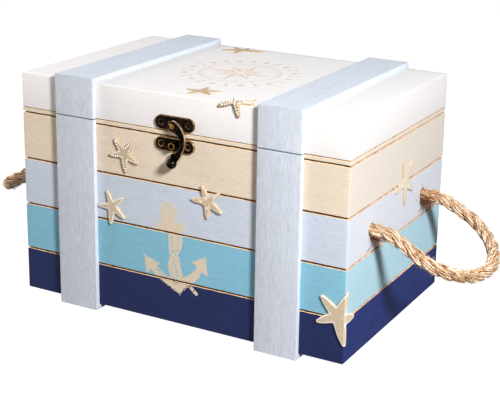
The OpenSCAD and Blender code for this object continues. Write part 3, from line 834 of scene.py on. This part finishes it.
def anchorDepth(u, v):
    # a stencilled anchor fouled by its rope, with the grooves left bare
    for middle in grooveHeights():
        if abs(v - middle) < grooves["width"] / 2 + anchor["grooveGap"]:
            return -1 * mm
    p = Vector((u, v)) - anchor["crown"]
    iron = max(outlineDepth(p, corners) for corners in anchor["irons"])
    fromRing = (p - anchor["ringCentre"]).length
    ring = anchor["ringRadius"] - fromRing
    if fromRing < anchor["ringRadius"] * anchor["ringHole"]:  # specks of the board show
        ring = (0.1 - noise.noise(Vector((u, v, 9)) / anchor["ringSpeck"])) * 2 * mm
    iron = max(iron, ring)
    gap = anchor["gap"]
    for a, b in anchor["bareLines"]:
        iron = min(iron, -segmentDepth(p, a, b, gap))
    rough = anchor["raggedness"] * (1 if p.y < anchor["footHigh"] else 0.5)
    iron += noise.noise(Vector((u, v, 0)) / anchor["raggedEvery"]) * rough
    along, every = 0, anchor["holeEvery"]
    for a, b in [*zip(anchor["rope"], anchor["rope"][1:]), anchor["ropeEnd"]]:
        half = anchor["ropeHalf"] * (anchor["ropeEndThin"] if a is anchor["ropeEnd"][0] else 1)
        strand = segmentDepth(p, a, b, half)
        if strand > -2 * gap:
            reach = along + (p - a).dot((b - a).normalized())
            hole = abs(reach % every - every / 2) + abs(strand - half)
            iron = min(max(iron, strand), abs(strand) - gap * (strand < 0),
                       hole - anchor["hole"])
        along += (b - a).length
    return iron


rose = {  # lengths in mm
    "centre": Vector((2.0, 0.5)) * mm,
    "rings": [(27.0, 0.46), (24.9, 0.24), (10.4, 0.34), (3.4, 0.5)],  # radius, half width
    "rays": [(0, 23.6), (45, 18.0)],  # turn, length
    "rayRoot": 4.2,
    "rayKnee": 0.16,  # where a ray is widest, of its length
    "rayHalf": 3.4,
    "raySlope": 0.97,  # cosine of the lean of its long sides
    "line": 0.4,
    "ticks": (27, 30.5, 30),  # between these radii; the outer end is drawn at the last
    "tickEvery": 11.25,
    "tickHalf": 0.34,
    "marks": 24,  # the ring of dashes and lozenges outside
    "markFrom": 33.0,
    "markTo": 40.5,
    "dash": (0.75, 3.7),  # half its width and half its length
    "dashFoot": (2.2, 0.6, 3.1),  # the same of its two cross strokes, and their distance
    "lozenge": (2.5, 0.68),  # half its width, and how it narrows
    "wearEvery": 1.6 * mm,
    "wear": (0.22, -0.04),  # how ragged the edges are, and how much thinner all lines
    "cell": 0.42 * mm,
}


def rayDepth(x, y, length):
    # one point of the rose along +X: an outlined lozenge, its right half filled
    root, half = rose["rayRoot"], rose["rayHalf"]
    knee = root + (length - root) * rose["rayKnee"]
    if x < knee:
        width = half * (x - root) / (knee - root)
    else:
        width = half * (length - x) / (length - knee)
    inside = (width - abs(y)) * rose["raySlope"]
    outline = rose["line"] - abs(inside)
    filled = min(inside, -y)
    return max(outline if root < x < length else -1, filled)


def offStep(turn, step):
    # how far an angle is from the nearest whole step
    return (turn + step / 2) % step - step / 2


def roseDepth(u, v):
    # a plain compass rose inside a ring of dashes and lozenges
    x, y = (Vector((u, v)) - rose["centre"]) / mm
    radius, turn = hypot(x, y), degrees(atan2(y, x))
    best = max(half - abs(radius - ring) for ring, half in rose["rings"])
    if rose["rayRoot"] < radius < rose["rays"][0][1]:
        for offset, length in rose["rays"]:
            a = radians(offStep(turn + offset, 90))
            best = max(best, rayDepth(radius * cos(a), radius * sin(a), length))
    start, end, tip = rose["ticks"]
    if start < radius < end:
        aside = abs(radius * radians(offStep(turn, rose["tickEvery"])))
        best = max(best, min(rose["tickHalf"] - aside, tip - radius))
    if rose["markFrom"] - 1 < radius < rose["markTo"] + 1:
        step = 360 / rose["marks"]
        local = offStep(turn, step)
        aside = abs(radius * radians(local))
        along = abs(radius - (rose["markFrom"] + rose["markTo"]) / 2)
        if round((turn - local) / step) % 2:
            wide, high, off = rose["dashFoot"]
            best = max(best, min(rose["dash"][0] - aside, rose["dash"][1] - along),
                       min(wide - aside, high - abs(along - off)))
        else:
            best = max(best, rose["lozenge"][0] - aside - along * rose["lozenge"][1])
    wear = noise.noise(Vector((u, v, 5)) / rose["wearEvery"]) * rose["wear"][0]
    return (best + wear + rose["wear"][1]) * mm


def stencilPaint(name, colour, wood, share):
    # Thin stencil paint: chalky, with the coat below showing through in specks
    return speckled(name, {"Roughness": 0.62, "IOR": 1.46}, (1100.0,), colour, wood, 0.42,
                    0.62, share)[0]


def makePrints():
    sand = stencilPaint("sand stencil paint", "#DFCFB8", "#C9BBA2", 0.5)
    pale = stencilPaint("pale stencil paint", "#D1BAA4", "#E6DBD2", 0.6)
    crown, middle = anchor["crown"], rose["centre"]
    left, below, right, above = anchor["reach"]
    made = reliefMesh("anchor_print", anchorDepth, (crown.x - left, crown.y - below),
                      (crown.x + right, crown.y + above), anchor["cell"],
                      lambda d: anchor["paint"], onFront, [sand])
    handOver(made, "case", "plank_paint")
    reach = (rose["markTo"] + 2) * mm
    made = reliefMesh("compass_rose_print", roseDepth, middle - Vector((reach, reach)),
                      middle + Vector((reach, reach)), rose["cell"],
                      lambda d: anchor["paint"], onTop, [pale])
    handOver(made, "lid", "lid_paint")


makePrints()
print("anchor and compass rose stencilled")


starfish = {
    "round": 0.25 * mm,
    "tip": 0.075,  # radius of an arm's tip, as a share of its length
    "blend": 0.6 * mm,  # how softly the arms run into each other
    "cell": 0.38 * mm,
    "fold": 1.0 * mm,  # the width of the bend where one turns an edge
    "beadRadius": 0.46 * mm,
    "beadSpacing": 1.75 * mm,
    "beadInset": 1.0 * mm,
    "beadHigh": 0.97,  # of the relief's thickness
    "rimHigh": (0.8, 0.2),  # the height at the edge and the rise of its rounding
}


def folded(over):
    # the share of a height that still points ahead, the share that has turned, and the
    # distance gone past the bend
    angle = max(0, min(1, over / starfish["fold"])) * pi / 2
    return cos(angle), sin(angle), max(0, over - starfish["fold"])


def overCorner(u, v, height):
    # from the front onto the right wall
    ahead, aside, past = folded(u - shell["halfX"])
    return (min(u, shell["halfX"]) + height * aside, frontLow.y - height * ahead + past, v)


def overLidEdge(u, v, height):
    # from the top of the lid down its front
    up, out, past = folded(frontLow.y - v)
    return (u, max(v, frontLow.y) - height * out, panelHigh.z + height * up - past)


# node, body, centre in its drawing (mm), arms (angle, length), bulk of the arms, thickness
# (mm), place, coat, beads
starfishList = [
    ("starfish_cream_plank", "case", (-38.0, 112.4),
     ((53, 12.2), (131, 11.7), (192, 11.8), (274, 12.6), (332, 11.7)),
     0.13, 1.2, onFront, "plain", True),
    ("starfish_left_sky_plank", "case", (-48.3, 75.1),
     ((39, 11.3), (110, 11.0), (185, 11.0), (264, 12.6), (325, 11.9)),
     0.105, 1.2, onFront, "rimmed", False),
    ("starfish_right_sky_plank", "case", (24.0, 91.0),
     ((38, 10.9), (113, 10.8), (182, 11.7), (270, 11.4), (329, 12.3)),
     0.11, 1.2, onFront, "blotched", False),
    ("starfish_corner", "case", (115.9, 34.7),
     ((66, 17.4), (136, 16.2), (204, 15.6), (285, 19.4), (350, 17.0)),
     0.125, 1.2, overCorner, "cornerRimmed", False),
    ("starfish_right_wall", "case", (9.2, 97.7),
     ((42, 16.4), (113, 15.4), (194, 17.0), (271, 17.1), (324, 16.3)),
     0.105, 0.9, onRight, "sideBlotched", False),
    ("starfish_lid_edge", "lid", (43.0, -74.0),
     ((0, 11.4), (62, 13.0), (134, 9.5), (208, 13.0), (283, 12.0)),
     0.1, 1.2, overLidEdge, "topCoat", True),
    ("starfish_lid_front", "lid", (7.6, -59.0),
     ((27, 12.6), (95, 10.8), (181, 10.6), (252, 10.8), (332, 12.2)),
     0.085, 0.5, onTop, "topCoat", False),
    ("starfish_lid_back", "lid", (-33.5, 65.6),
     ((11, 16.5), (83, 9.5), (149, 12.0), (207, 14.5), (269, 11.9)),
     0.085, 0.5, onTop, "topCoat", False),
]


def starDepth(x, y, arms, bulk):
    # how far a point lies inside a starfish: leaf-shaped arms that run together
    total = 0
    for angle, length in arms:
        a, reach = radians(angle), length * mm
        along, aside = x * cos(a) + y * sin(a), y * cos(a) - x * sin(a)
        end = reach * (1 - starfish["tip"])
        share = max(0, min(1, along / end))
        half = reach * (starfish["tip"] + bulk * (1 - share ** 3))
        depth = half - hypot(along - share * end, aside)
        total += exp(depth / starfish["blend"])
    return starfish["blend"] * log(total) if total > 1e-9 else -1


def contour(depthAt, low, high, cell, level):
    # the line where depthAt equals level, as points and the edges between them
    spots, edges = {}, []
    for found in gridWalk(lambda u, v: depthAt(u, v) - level, low, high, cell):
        met = [spot for spot in found if spot[3] == 0]
        spots.update({key: (low[0] + i * cell, low[1] + j * cell) for key, i, j, _ in met})
        if len(met) == 2:
            edges.append([key for key, *_ in met])
    order = {key: index for index, key in enumerate(spots)}
    return list(spots.values()), [(order[a], order[b]) for a, b in edges]


def paintedStar(name, core, rim, blotches):
    # Laser-cut plywood starfish, dipped in sand-coloured paint, with a pale dabbed rim
    material, tree, shader = newMaterial(name, {"Roughness": 0.6, "IOR": 1.46})
    coords = objectCoords(tree)
    inward = addNode(tree, "ShaderNodeAttribute", attribute_name="inward").outputs["Fac"]
    uneven = computed(tree, "MULTIPLY_ADD", noiseOn(tree, coords, 650.0), 0.9, inward)
    edge = ranged(tree, uneven, 1.15, 1.45, 1.0, 0.0)  # a rim of about 0.8 mm
    blot = noiseOn(tree, coords, 260.0, 1.0)  # pale blotches about 3 mm across
    spot = ranged(tree, blot, 0.56, 0.64, 0.0, blotches)
    sandy = noiseOn(tree, coords, 1500.0, 2.0)
    base = linearColour(core)[:3]
    body = mixedColours(tree, sandy, [c * 0.86 for c in base] + [1],
                        [min(1, c * 1.12) for c in base] + [1])
    spotted = mixedColours(tree, spot, body, "#F3EADD")
    feed(tree, shader, {"Base Color": mixedColours(tree, edge, spotted, rim),
                        "Normal": bumped(tree, sandy, 0.3, 0.1)})
    return material


def geometryTree(name, sizes):
    # an empty tree with a named input for each size; whole numbers become integer inputs
    tree = bpy.data.node_groups.new(name, "GeometryNodeTree")
    tree.interface.new_socket("Geometry", in_out="INPUT", socket_type="NodeSocketGeometry")
    for label, value in sizes.items():
        kind = "NodeSocketInt" if isinstance(value, int) else "NodeSocketFloat"
        tree.interface.new_socket(label, in_out="INPUT", socket_type=kind)
    tree.interface.new_socket("Geometry", in_out="OUTPUT", socket_type="NodeSocketGeometry")
    return tree, addNode(tree, "NodeGroupInput").outputs


def endTree(tree, instances, material):
    real = addNode(tree, "GeometryNodeRealizeInstances", {0: instances}).outputs[0]
    coated = addNode(tree, "GeometryNodeSetMaterial", {"Geometry": real, "Material": material})
    addNode(tree, "NodeGroupOutput", {0: coated.outputs[0]})


def grown(base, tree, sizes, name):
    # runs the tree on a base mesh and gives what it makes as a plain mesh
    modifier = base.modifiers.new(name, "NODES")
    modifier.node_group = tree
    for item in tree.interface.items_tree:
        if item.in_out == "INPUT" and item.name in sizes:
            modifier[item.identifier] = sizes[item.name]
    made = finishedMesh(base, name)
    discard(base)
    return made


beadSizes = {"Bead radius": starfish["beadRadius"], "Spacing": starfish["beadSpacing"]}


def beadTree(material):
    # small round beads at an even spacing along every line of the base mesh
    tree, given = geometryTree("beads along a line", beadSizes)
    line = addNode(tree, "GeometryNodeMeshToCurve", {0: given["Geometry"]}).outputs[0]
    spaced = addNode(tree, "GeometryNodeResampleCurve",
                     {"Curve": line, "Length": given["Spacing"]}, mode="LENGTH")
    bead = addNode(tree, "GeometryNodeMeshIcoSphere", {"Radius": given["Bead radius"],
                                                       "Subdivisions": 2})
    placed = addNode(tree, "GeometryNodeInstanceOnPoints",
                     {"Points": spaced.outputs[0], "Instance": bead.outputs[0]})
    endTree(tree, placed.outputs[0], material)
    return tree


def makeStarfish():
    coats = {
        "plain": paintedStar("sand paint on plywood", "#C2AF94", "#C2AF94", 0.0),
        "rimmed": paintedStar("sand paint, pale rim", "#CDBA9E", "#E9DFD2", 0.1),
        "cornerRimmed": paintedStar("sand paint, broad pale rim", "#CAB79C", "#EDE4DA", 0.15),
        "blotched": paintedStar("sand paint, pale blotches", "#CDB497", "#D9C7B2", 0.75),
        # paler and greyer than the front's coats: painted light on the side wall
        "sideBlotched": paintedStar("sand paint on the side wall, pale blotches, painted light", "#D3C6B6", "#CABCAA", 0.6),
        # darker than the coats on the walls: painted shade on the lid's top
        "topCoat": paintedStar("sand paint, unrimmed", "#BBA387", "#BBA387", 0.0),
    }
    # the starfishes' sides, darker than their tops: painted shade, so that where the lamp lights
    # them they match the body
    starEdgeShade = scorchedWood("starfish sides, painted shade", "#A98B62", "#C9B48D", 0.5)
    white, _, _ = newMaterial("white relief paint", {"Base Color": linearColour("#F5F0EA"),
                                                     "Roughness": 0.45})
    beads = beadTree(white)
    tracks = {"case": ([], []), "lid": ([], [])}
    for node, body, centre, arms, bulk, thickness, place, coat, beaded in starfishList:
        middle, thickness = Vector(centre) * mm, thickness * mm
        reach = Vector((1, 1)) * (max(length for _, length in arms) + 1) * mm

        def depth(u, v):
            return starDepth(u - middle.x, v - middle.y, arms, bulk)

        def height(inward):
            share = 1 - min(1, inward / starfish["round"])
            low, rise = starfish["rimHigh"]
            return thickness * (low + rise * sqrt(1 - share * share))

        made = reliefMesh(node + "_relief", depth, middle - reach, middle + reach,
                          starfish["cell"], height, place, [coats[coat], starEdgeShade])
        handOver(made, body, "starfish_relief", node)
        if beaded:
            points, edges = tracks[body]
            start = len(points)
            line, steps = contour(depth, middle - reach, middle + reach, starfish["cell"] * 2,
                                  starfish["beadInset"])
            points += [place(u, v, thickness * starfish["beadHigh"]) for u, v in line]
            edges += [(start + a, start + b) for a, b in steps]
    for body, (points, edges) in tracks.items():
        mesh = bpy.data.meshes.new("bead tracks")
        mesh.from_pydata(points, edges, [])
        made = grown(linkedObject("bead tracks", mesh), beads, beadSizes,
                     f"{body}_starfish_beads")
        smoothed(made, 80)
        handOver(made, body, "starfish_relief")


makeStarfish()
print("starfish cut and beaded")


rope = {
    "diameter": 8.0 * mm,
    "strands": 3,
    "strandRadius": 2.35 * mm,  # each runs into its neighbours
    "lay": 30.0 * mm,  # length of one turn of a strand
    "coreSides": 16,
    "yarns": 19,  # round one strand
    "yarnPitch": 27.0 * mm,
    "yarnRadius": 0.42 * mm,
    "yarnSides": 6,
    "yarnReach": 125,  # degrees from a strand's outermost line to where a yarn dives
    "yarnTaper": 3.0 * mm,
    # the strands' cores, dark: painted shade between the strands and yarns
    "coreShade": 0.16,
    "meander": 0.34,  # of a yarn round its strand, in radians
    "shade": (0.58, 0.7, 0.4),  # mean, spread along a yarn, spread between yarns
    "holeShades": ((0.42, 20 * mm), (0.15, 9 * mm)),  # how much darker near each hole
    "ringStep": 0.9 * mm,
    # one half of a handle's loop: out from the wall, along it and up, in mm
    "halfRoute": [(-5, 42, 0), (0, 42, 0), (4.5, 42, 0), (11, 42.5, -0.5), (18, 43.5, -3),
                  (25, 44, -6.5), (32, 44.5, -10.5), (39, 43.5, -14.5), (45, 40, -18),
                  (50.5, 35, -21), (55, 28.5, -23.5), (58.5, 21, -25.5), (61, 13, -26.5),
                  (62.5, 4.5, -27)],
    "bendFrom": -2.0 * mm,  # out from the wall, where the loop would start to follow the handle; nothing bends it
    "bendTo": 11.0 * mm,
    "spread": (1.06, 0.06, 7 * mm),  # its width, and more of it this far from the wall
    "knotRadius": 8.0 * mm,
    "knotTurns": 3.0,
    "knotStart": {-1: 2.4, 1: 0.8},  # angle of the first turn, front and back, in radians
    "wrapThick": 0.36,  # of the knot's radius
    "stem": (0.62, 0.96, 0.16),  # its width in the knot, outside, and more at the tip
    "tail": 9.0 * mm,
    "fray": 5 * mm,  # the tail's last part, where the strands open
    "swell": (0.45, 0.75),  # how far out the knot's turns lie at its ends, and more between
}


def smoothRoute(points, step):
    # a smooth curve through given points, cut into even steps
    padded = [points[0] * 2 - points[1]] + points + [points[-1] * 2 - points[-2]]
    fine = []
    for a, b, c, d in zip(padded, padded[1:], padded[2:], padded[3:]):
        for k in range(24):
            t = k / 24
            fine.append(0.5 * (2 * b + (c - a) * t + (2 * a - 5 * b + 4 * c - d) * t ** 2
                               + (3 * b - a - 3 * c + d) * t ** 3))
    fine.append(points[-1])
    return evenly(fine, step)


def evenly(line, step):
    reach = [0]
    for a, b in zip(line, line[1:]):
        reach.append(reach[-1] + (b - a).length)
    count = max(2, round(reach[-1] / step))
    out, at = [], 0
    for k in range(count + 1):
        target = reach[-1] * k / count
        while at < len(line) - 2 and reach[at + 1] < target:
            at += 1
        share = (target - reach[at]) / (reach[at + 1] - reach[at])
        out.append(line[at].lerp(line[at + 1], min(1, share)))
    return out


def addTube(piece, rings, sides):
    # rings: centre, two directions across, radius, shade from dark 0 to pale 1
    points, faces, shades, runs = piece
    first, last = len(points), len(rings) - 1
    for k, (centre, one, other, radius, shade) in enumerate(rings):
        run = (rings[min(k + 1, last)][0] - rings[max(k - 1, 0)][0]).normalized()
        for side in range(sides):
            phi = tau * side / sides
            points.append(centre + one * radius * cos(phi) + other * radius * sin(phi))
        shades += [shade] * sides
        runs += [run] * sides
    for k in range(last):
        a = first + k * sides
        faces += [(a + side, a + (side + 1) % sides, a + sides + (side + 1) % sides,
                   a + sides + side) for side in range(sides)]
    faces.append(tuple(first + side for side in range(sides)))
    faces.append(tuple(first + last * sides + side for side in reversed(range(sides))))


def laidStrands(path, widths):
    # A three-strand rope along a path; widths scales it at each point. Each strand is a
    # core, darkened as painted shade between the yarns, under yarns that turn against the
    # lay, so that they run almost along the rope and dive between the strands. Gives points,
    # faces, shades and fibre directions.
    strandR, yarnR = rope["strandRadius"], rope["yarnRadius"]
    offset = rope["diameter"] / 2 - strandR
    stretch = hypot(1, tau * offset / rope["lay"])
    sideways = (path[1] - path[0]).normalized().orthogonal().normalized()
    frames, along = [], 0
    for k, spot in enumerate(path):
        ahead = (path[min(k + 1, len(path) - 1)] - path[max(k - 1, 0)]).normalized()
        sideways = (sideways - ahead * sideways.dot(ahead)).normalized()
        along += (spot - path[k - 1]).length if k else 0
        frames.append((spot, sideways, ahead.cross(sideways), along, widths[k]))
    piece = [], [], [], []
    for strand in range(rope["strands"]):
        lines = []
        for spot, sideways, upward, s, width in frames:
            turn = tau * (s / rope["lay"] + strand / rope["strands"])
            out = sideways * cos(turn) + upward * sin(turn)
            beside = (upward * cos(turn) - sideways * sin(turn)) * stretch
            lines.append((spot + out * offset * width, out, beside, s, width))
        addTube(piece, [(middle, out, beside, (strandR - yarnR) * width, rope["coreShade"])
                        for middle, out, beside, _, width in lines], rope["coreSides"])
        for yarn in range(rope["yarns"]):
            for run in yarnRuns(lines, yarn, strand * rope["yarns"] + yarn):
                if len(run) > 3:
                    addTube(piece, yarnRings(run), rope["yarnSides"])
    return piece


def yarnRuns(lines, yarn, number):
    # the stretches of one yarn that lie on the outside of its strand
    mean, alongSpread, betweenSpread = rope["shade"]
    (firstDark, firstReach), (lastDark, lastReach) = rope["holeShades"]
    runs = [[]]
    for middle, out, beside, s, width in lines:
        meander = rope["meander"] * noise.noise(Vector((s / (10 * mm), number * 3.7, 0)))
        phi = tau * (yarn / rope["yarns"] - s / rope["yarnPitch"]) + meander
        phi = (phi + pi) % tau - pi
        if abs(degrees(phi)) > rope["yarnReach"]:
            if runs[-1]:
                runs.append([])
            continue
        rise = noise.noise(Vector((s / (5 * mm), number * 5.1, 4)))
        shade = mean + alongSpread * noise.noise(Vector((s / (5 * mm), number * 2.3, 8)))
        shade += betweenSpread * noise.noise(Vector((len(runs) * 3.1, number * 1.7, 2)))
        shade -= firstDark * max(0, 1 - s / firstReach)
        shade -= lastDark * max(0, 1 - (lines[-1][3] - s) / lastReach)
        runs[-1].append((middle, out * cos(phi) + beside * sin(phi),
                         out.cross(beside).normalized(), s, width, rise, shade))
    return runs


def yarnRings(run):
    # one stretch of a yarn, thinner, and darker as painted shade, where it dives in at either end
    strandR, yarnR = rope["strandRadius"], rope["yarnRadius"]
    rings = []
    for middle, outward, ahead, s, width, rise, shade in run:
        fromEnd = min(s - run[0][3], run[-1][3] - s) / rope["yarnTaper"]
        full = sin(pi / 2 * min(1, fromEnd)) if run[0][3] > 0 else 1
        radius = yarnR * width * (0.35 + 0.65 * full) * (1 + 0.25 * rise)
        away = (strandR - yarnR) * width + (0.2 * mm * rise - yarnR * (1 - full))
        rings.append((middle + outward * away, outward, ahead.cross(outward).normalized(),
                      radius, max(0.0, min(1.0, shade * (0.5 + 0.5 * full)))))
    return rings


def joinedRopes(name, parts, material):
    points, faces, shades, runs = [], [], [], []
    for some, theirs, tones, ways in parts:
        start = len(points)
        points += some
        faces += [tuple(start + k for k in face) for face in theirs]
        shades += tones
        runs += ways
    piece = meshObject(name, points, faces, [material], sharpAngle=60)
    pointValues(piece.data, "shade", "FLOAT", shades)
    pointValues(piece.data, "fibreRun", "FLOAT_VECTOR", [c for way in runs for c in way])
    return piece


def sisal(name, colours, ownShade=True):
    # Three-strand sisal: dull straw-coloured leaf fibres, pale where they catch light and
    # red-brown between the yarns, where the colour is painted shade
    material, tree, shader = newMaterial(name, {"Roughness": 0.8, "IOR": 1.45,
                                                "Specular IOR Level": 0.35})
    coords = objectCoords(tree)
    fibre = noiseOn(tree, coords, 900.0, 3.0, 0.7)  # short flecks, 0.5 mm across
    if ownShade:
        shade = addNode(tree, "ShaderNodeAttribute", attribute_name="shade").outputs["Fac"]
    else:
        shade = noiseOn(tree, coords, 260.0, 2.0)
    flecked = computed(tree, "ADD", shade, ranged(tree, fibre, 0.3, 0.7, -0.22, 0.22))
    ramp = addNode(tree, "ShaderNodeValToRGB", {0: flecked})
    stops = ramp.color_ramp.elements
    for position in (0.3, 0.6):
        stops.new(position)
    for stop, position, colour in zip(stops, (0.05, 0.32, 0.6, 0.95), colours):
        stop.position, stop.color = position, linearColour(colour)
    feed(tree, shader, {"Base Color": ramp.outputs[0], "Normal": bumped(tree, fibre, 0.6, 0.3)})
    return material


def vectorMath(tree, operation, values):
    return addNode(tree, "ShaderNodeVectorMath", values, operation=operation).outputs[0]


hairSizes = {"Hairs per area": 150000.0, "Hair length": 3.6 * mm, "Hair radius": 0.08 * mm,
             "Bend": 0.45, "Reach": 0.8, "Seed": 7}


def hairTree(material):
    # stray fibres: short bent tubes that lie along the yarns and stick out at random
    tree, given = geometryTree("stray fibres", hairSizes)
    roots = addNode(tree, "GeometryNodeDistributePointsOnFaces",
                    {"Mesh": given["Geometry"], "Density": given["Hairs per area"],
                     "Seed": given["Seed"]}).outputs
    half, bend, reach = (computed(tree, "MULTIPLY", given["Hair length"], share)
                         for share in (0.5, given["Bend"], given["Reach"]))
    middle = addNode(tree, "ShaderNodeCombineXYZ", {"Z": half}).outputs[0]
    end = addNode(tree, "ShaderNodeCombineXYZ", {"X": bend, "Z": reach}).outputs[0]
    curve = addNode(tree, "GeometryNodeCurveQuadraticBezier",
                    {"Resolution": 5, "Start": (0, 0, -0.3 * mm), "Middle": middle,
                     "End": end}).outputs[0]
    section = addNode(tree, "GeometryNodeCurvePrimitiveCircle",
                      {"Resolution": 3, "Radius": given["Hair radius"]}).outputs[0]
    tube = addNode(tree, "GeometryNodeCurveToMesh",
                   {"Curve": curve, "Profile Curve": section, "Fill Caps": True}).outputs[0]
    run = addNode(tree, "GeometryNodeInputNamedAttribute", {"Name": "fibreRun"},
                  data_type="FLOAT_VECTOR").outputs[0]
    sway = addNode(tree, "FunctionNodeRandomValue", {2: -1.1, 3: 1.1, "Seed": 2},
                   data_type="FLOAT").outputs[1]
    scatter = addNode(tree, "FunctionNodeRandomValue",
                      {0: (-0.35, -0.35, -0.35), 1: (0.35, 0.35, 0.35), "Seed": 3},
                      data_type="FLOAT_VECTOR").outputs[0]
    size = addNode(tree, "FunctionNodeRandomValue", {2: 0.3, 3: 1.0, "Seed": 5},
                   data_type="FLOAT").outputs[1]
    lying = vectorMath(tree, "SCALE", {0: run, "Scale": sway})
    leaning = vectorMath(tree, "ADD", {0: lying, 1: scatter})
    lift = vectorMath(tree, "SCALE", {0: roots["Normal"], "Scale": 0.45})
    heading = vectorMath(tree, "ADD", {0: leaning, 1: lift})
    aimed = addNode(tree, "FunctionNodeAlignRotationToVector", {"Vector": heading},
                    axis="Z").outputs[0]
    placed = addNode(tree, "GeometryNodeInstanceOnPoints",
                     {"Points": roots["Points"], "Instance": tube, "Rotation": aimed,
                      "Scale": size})
    endTree(tree, placed.outputs[0], material)
    return tree


def besideHole(side, out, y, up):
    # a place out from a side wall, and up from the height of its holes
    return Vector((side * (shell["halfX"] + out), y, ropeHoles["height"] + up))


frayedSizes = {"Hairs per area": 6.0e6, "Hair length": 9.5 * mm, "Hair radius": 0.17 * mm,
               "Bend": 1.25, "Reach": 0.15, "Seed": 4}


collar = {
    "radius": 4.1 * mm,
    "width": 1.6 * mm,
    "steps": 12,
    "share": {-1: 0.15, 1: 0.38},  # of half a turn, at the front hole and the back one
    "run": (0.35, 0.8, 0.2),  # the fibres' direction: out, back and up
}


def frayedCollar(side, y, share):
    # the part of the rope's skin at its hole where broken fibres stand out: from the
    # underside up each way by share of half a turn
    points, faces, steps = [], [], collar["steps"]
    for k in range(steps + 1):
        a = pi * (-0.5 + share * (k / (steps / 2) - 1))
        for out in (0.0, collar["width"]):
            points.append(besideHole(side, out, y + collar["radius"] * cos(a),
                                     collar["radius"] * sin(a)))
    for k in range(steps):
        face = (2 * k, 2 * k + 2, 2 * k + 3, 2 * k + 1)
        faces.append(face if side > 0 else face[::-1])
    mesh = bpy.data.meshes.new("frayed collar")
    mesh.from_pydata(points, [], faces)
    out, back, up = collar["run"]
    pointValues(mesh, "fibreRun", "FLOAT_VECTOR", [out * side, back, up] * len(points))
    return linkedObject("frayed collar", mesh)


def barrelKnot(side, y):
    # the rope through its hole, a barrel knot of three turns against the wall, and a tail
    inner = shell["halfX"] - shell["wall"]
    height, radius = ropeHoles["height"], rope["knotRadius"]

    def spot(inward, away=0, angle=0):
        return Vector((side * (inner - inward), y + away * cos(angle),
                       height + away * sin(angle)))

    length, outside, count = 2 * radius + rope["tail"], 5 * mm, 44
    stem = [spot(-outside + (length + outside) * k / count) for k in range(count + 1)]
    knotted, plain, more = rope["stem"]
    stemWidths = []
    for point in stem:
        inward = inner - abs(point.x)
        inKnot = 1.5 * mm < inward < 2 * radius - 1.0 * mm
        flare = max(0, inward - (length - rope["fray"])) / rope["fray"]
        stemWidths.append(knotted if inKnot else plain + more * flare)
    first = rope["knotStart"][1 if y > 0 else -1]
    thick, wrap, count = rope["wrapThick"], [], 120
    for k in range(count + 1):
        share = k / count
        swell = sin(pi * min(1, max(0, share * 1.12 - 0.06)))
        away = radius * (1 - thick) * min(1, rope["swell"][0] + rope["swell"][1] * swell)
        wrap.append(spot(radius * thick + (2 - 2 * thick) * radius * share, away,
                         tau * rope["knotTurns"] * share + first))
    wrap = evenly(wrap, rope["ringStep"])
    width = radius * thick / (rope["diameter"] / 2)
    return [laidStrands(stem, stemWidths), laidStrands(wrap, [width] * len(wrap))]


def makeRopes():
    coat = sisal("laid sisal", ("#55301A", "#9E7049", "#CDAC8A", "#EEE0CC"))
    hairs = hairTree(sisal("loose sisal fibres", ("#A97D58", "#C7A484", "#DEC8AC", "#F0E4D2"),
                           False))
    frayed = hairTree(sisal("frayed sisal ends", ("#3A160A", "#6A2F16", "#8C4C28", "#B47A48"),
                            False))

    def fibresOn(piece, name):
        return grown(linkedObject(name + " base", piece.data.copy()), hairs, hairSizes, name)

    for side, label in ((1, "right"), (-1, "left")):
        half = [Vector(point) * mm for point in rope["halfRoute"]]
        route = half + [Vector((p.x, -p.y, p.z)) for p in reversed(half)]
        path = smoothRoute([besideHole(side, *p) for p in route], rope["ringStep"])
        plain, more, near = rope["spread"]
        outs = [(abs(point.x) - shell["halfX"]) / near for point in path]
        widths = [plain + more * max(0, 1 - max(0, out)) for out in outs]
        loop = joinedRopes(label + "_rope", [laidStrands(path, widths)], coat)
        fuzz = fibresOn(loop, label + "_rope_fibres")
        knots = []
        for end, where in ((-1, "front"), (1, "back")):
            y, node = end * ropeHoles["spacing"] / 2, f"{label}_{where}_rope_end"
            knot = joinedRopes(node + "_knot", barrelKnot(side, y), coat)
            handOver(knot, "case", "rope", node)
            knotFuzz = fibresOn(knot, node + "_fibres")
            handOver(knotFuzz, "case", "rope")
            knots += [knot, knotFuzz]
            base = frayedCollar(side, y, collar["share"][end])
            handOver(grown(base, frayed, frayedSizes, node + "_frayed"), "case", "rope")
        start, end = (besideHole(side, rope[key], 0, 0) for key in ("bendFrom", "bendTo"))
        for piece in (loop, fuzz):
            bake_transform(piece)
            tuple(start)
            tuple(end)
        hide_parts(label + "_rope_handle")
        length = sum((b - a).length for a, b in zip(path, path[1:]))
        [tuple(p) for p in path]
        print(f"{label} rope laid, {length / mm:.0f} mm")


makeRopes()
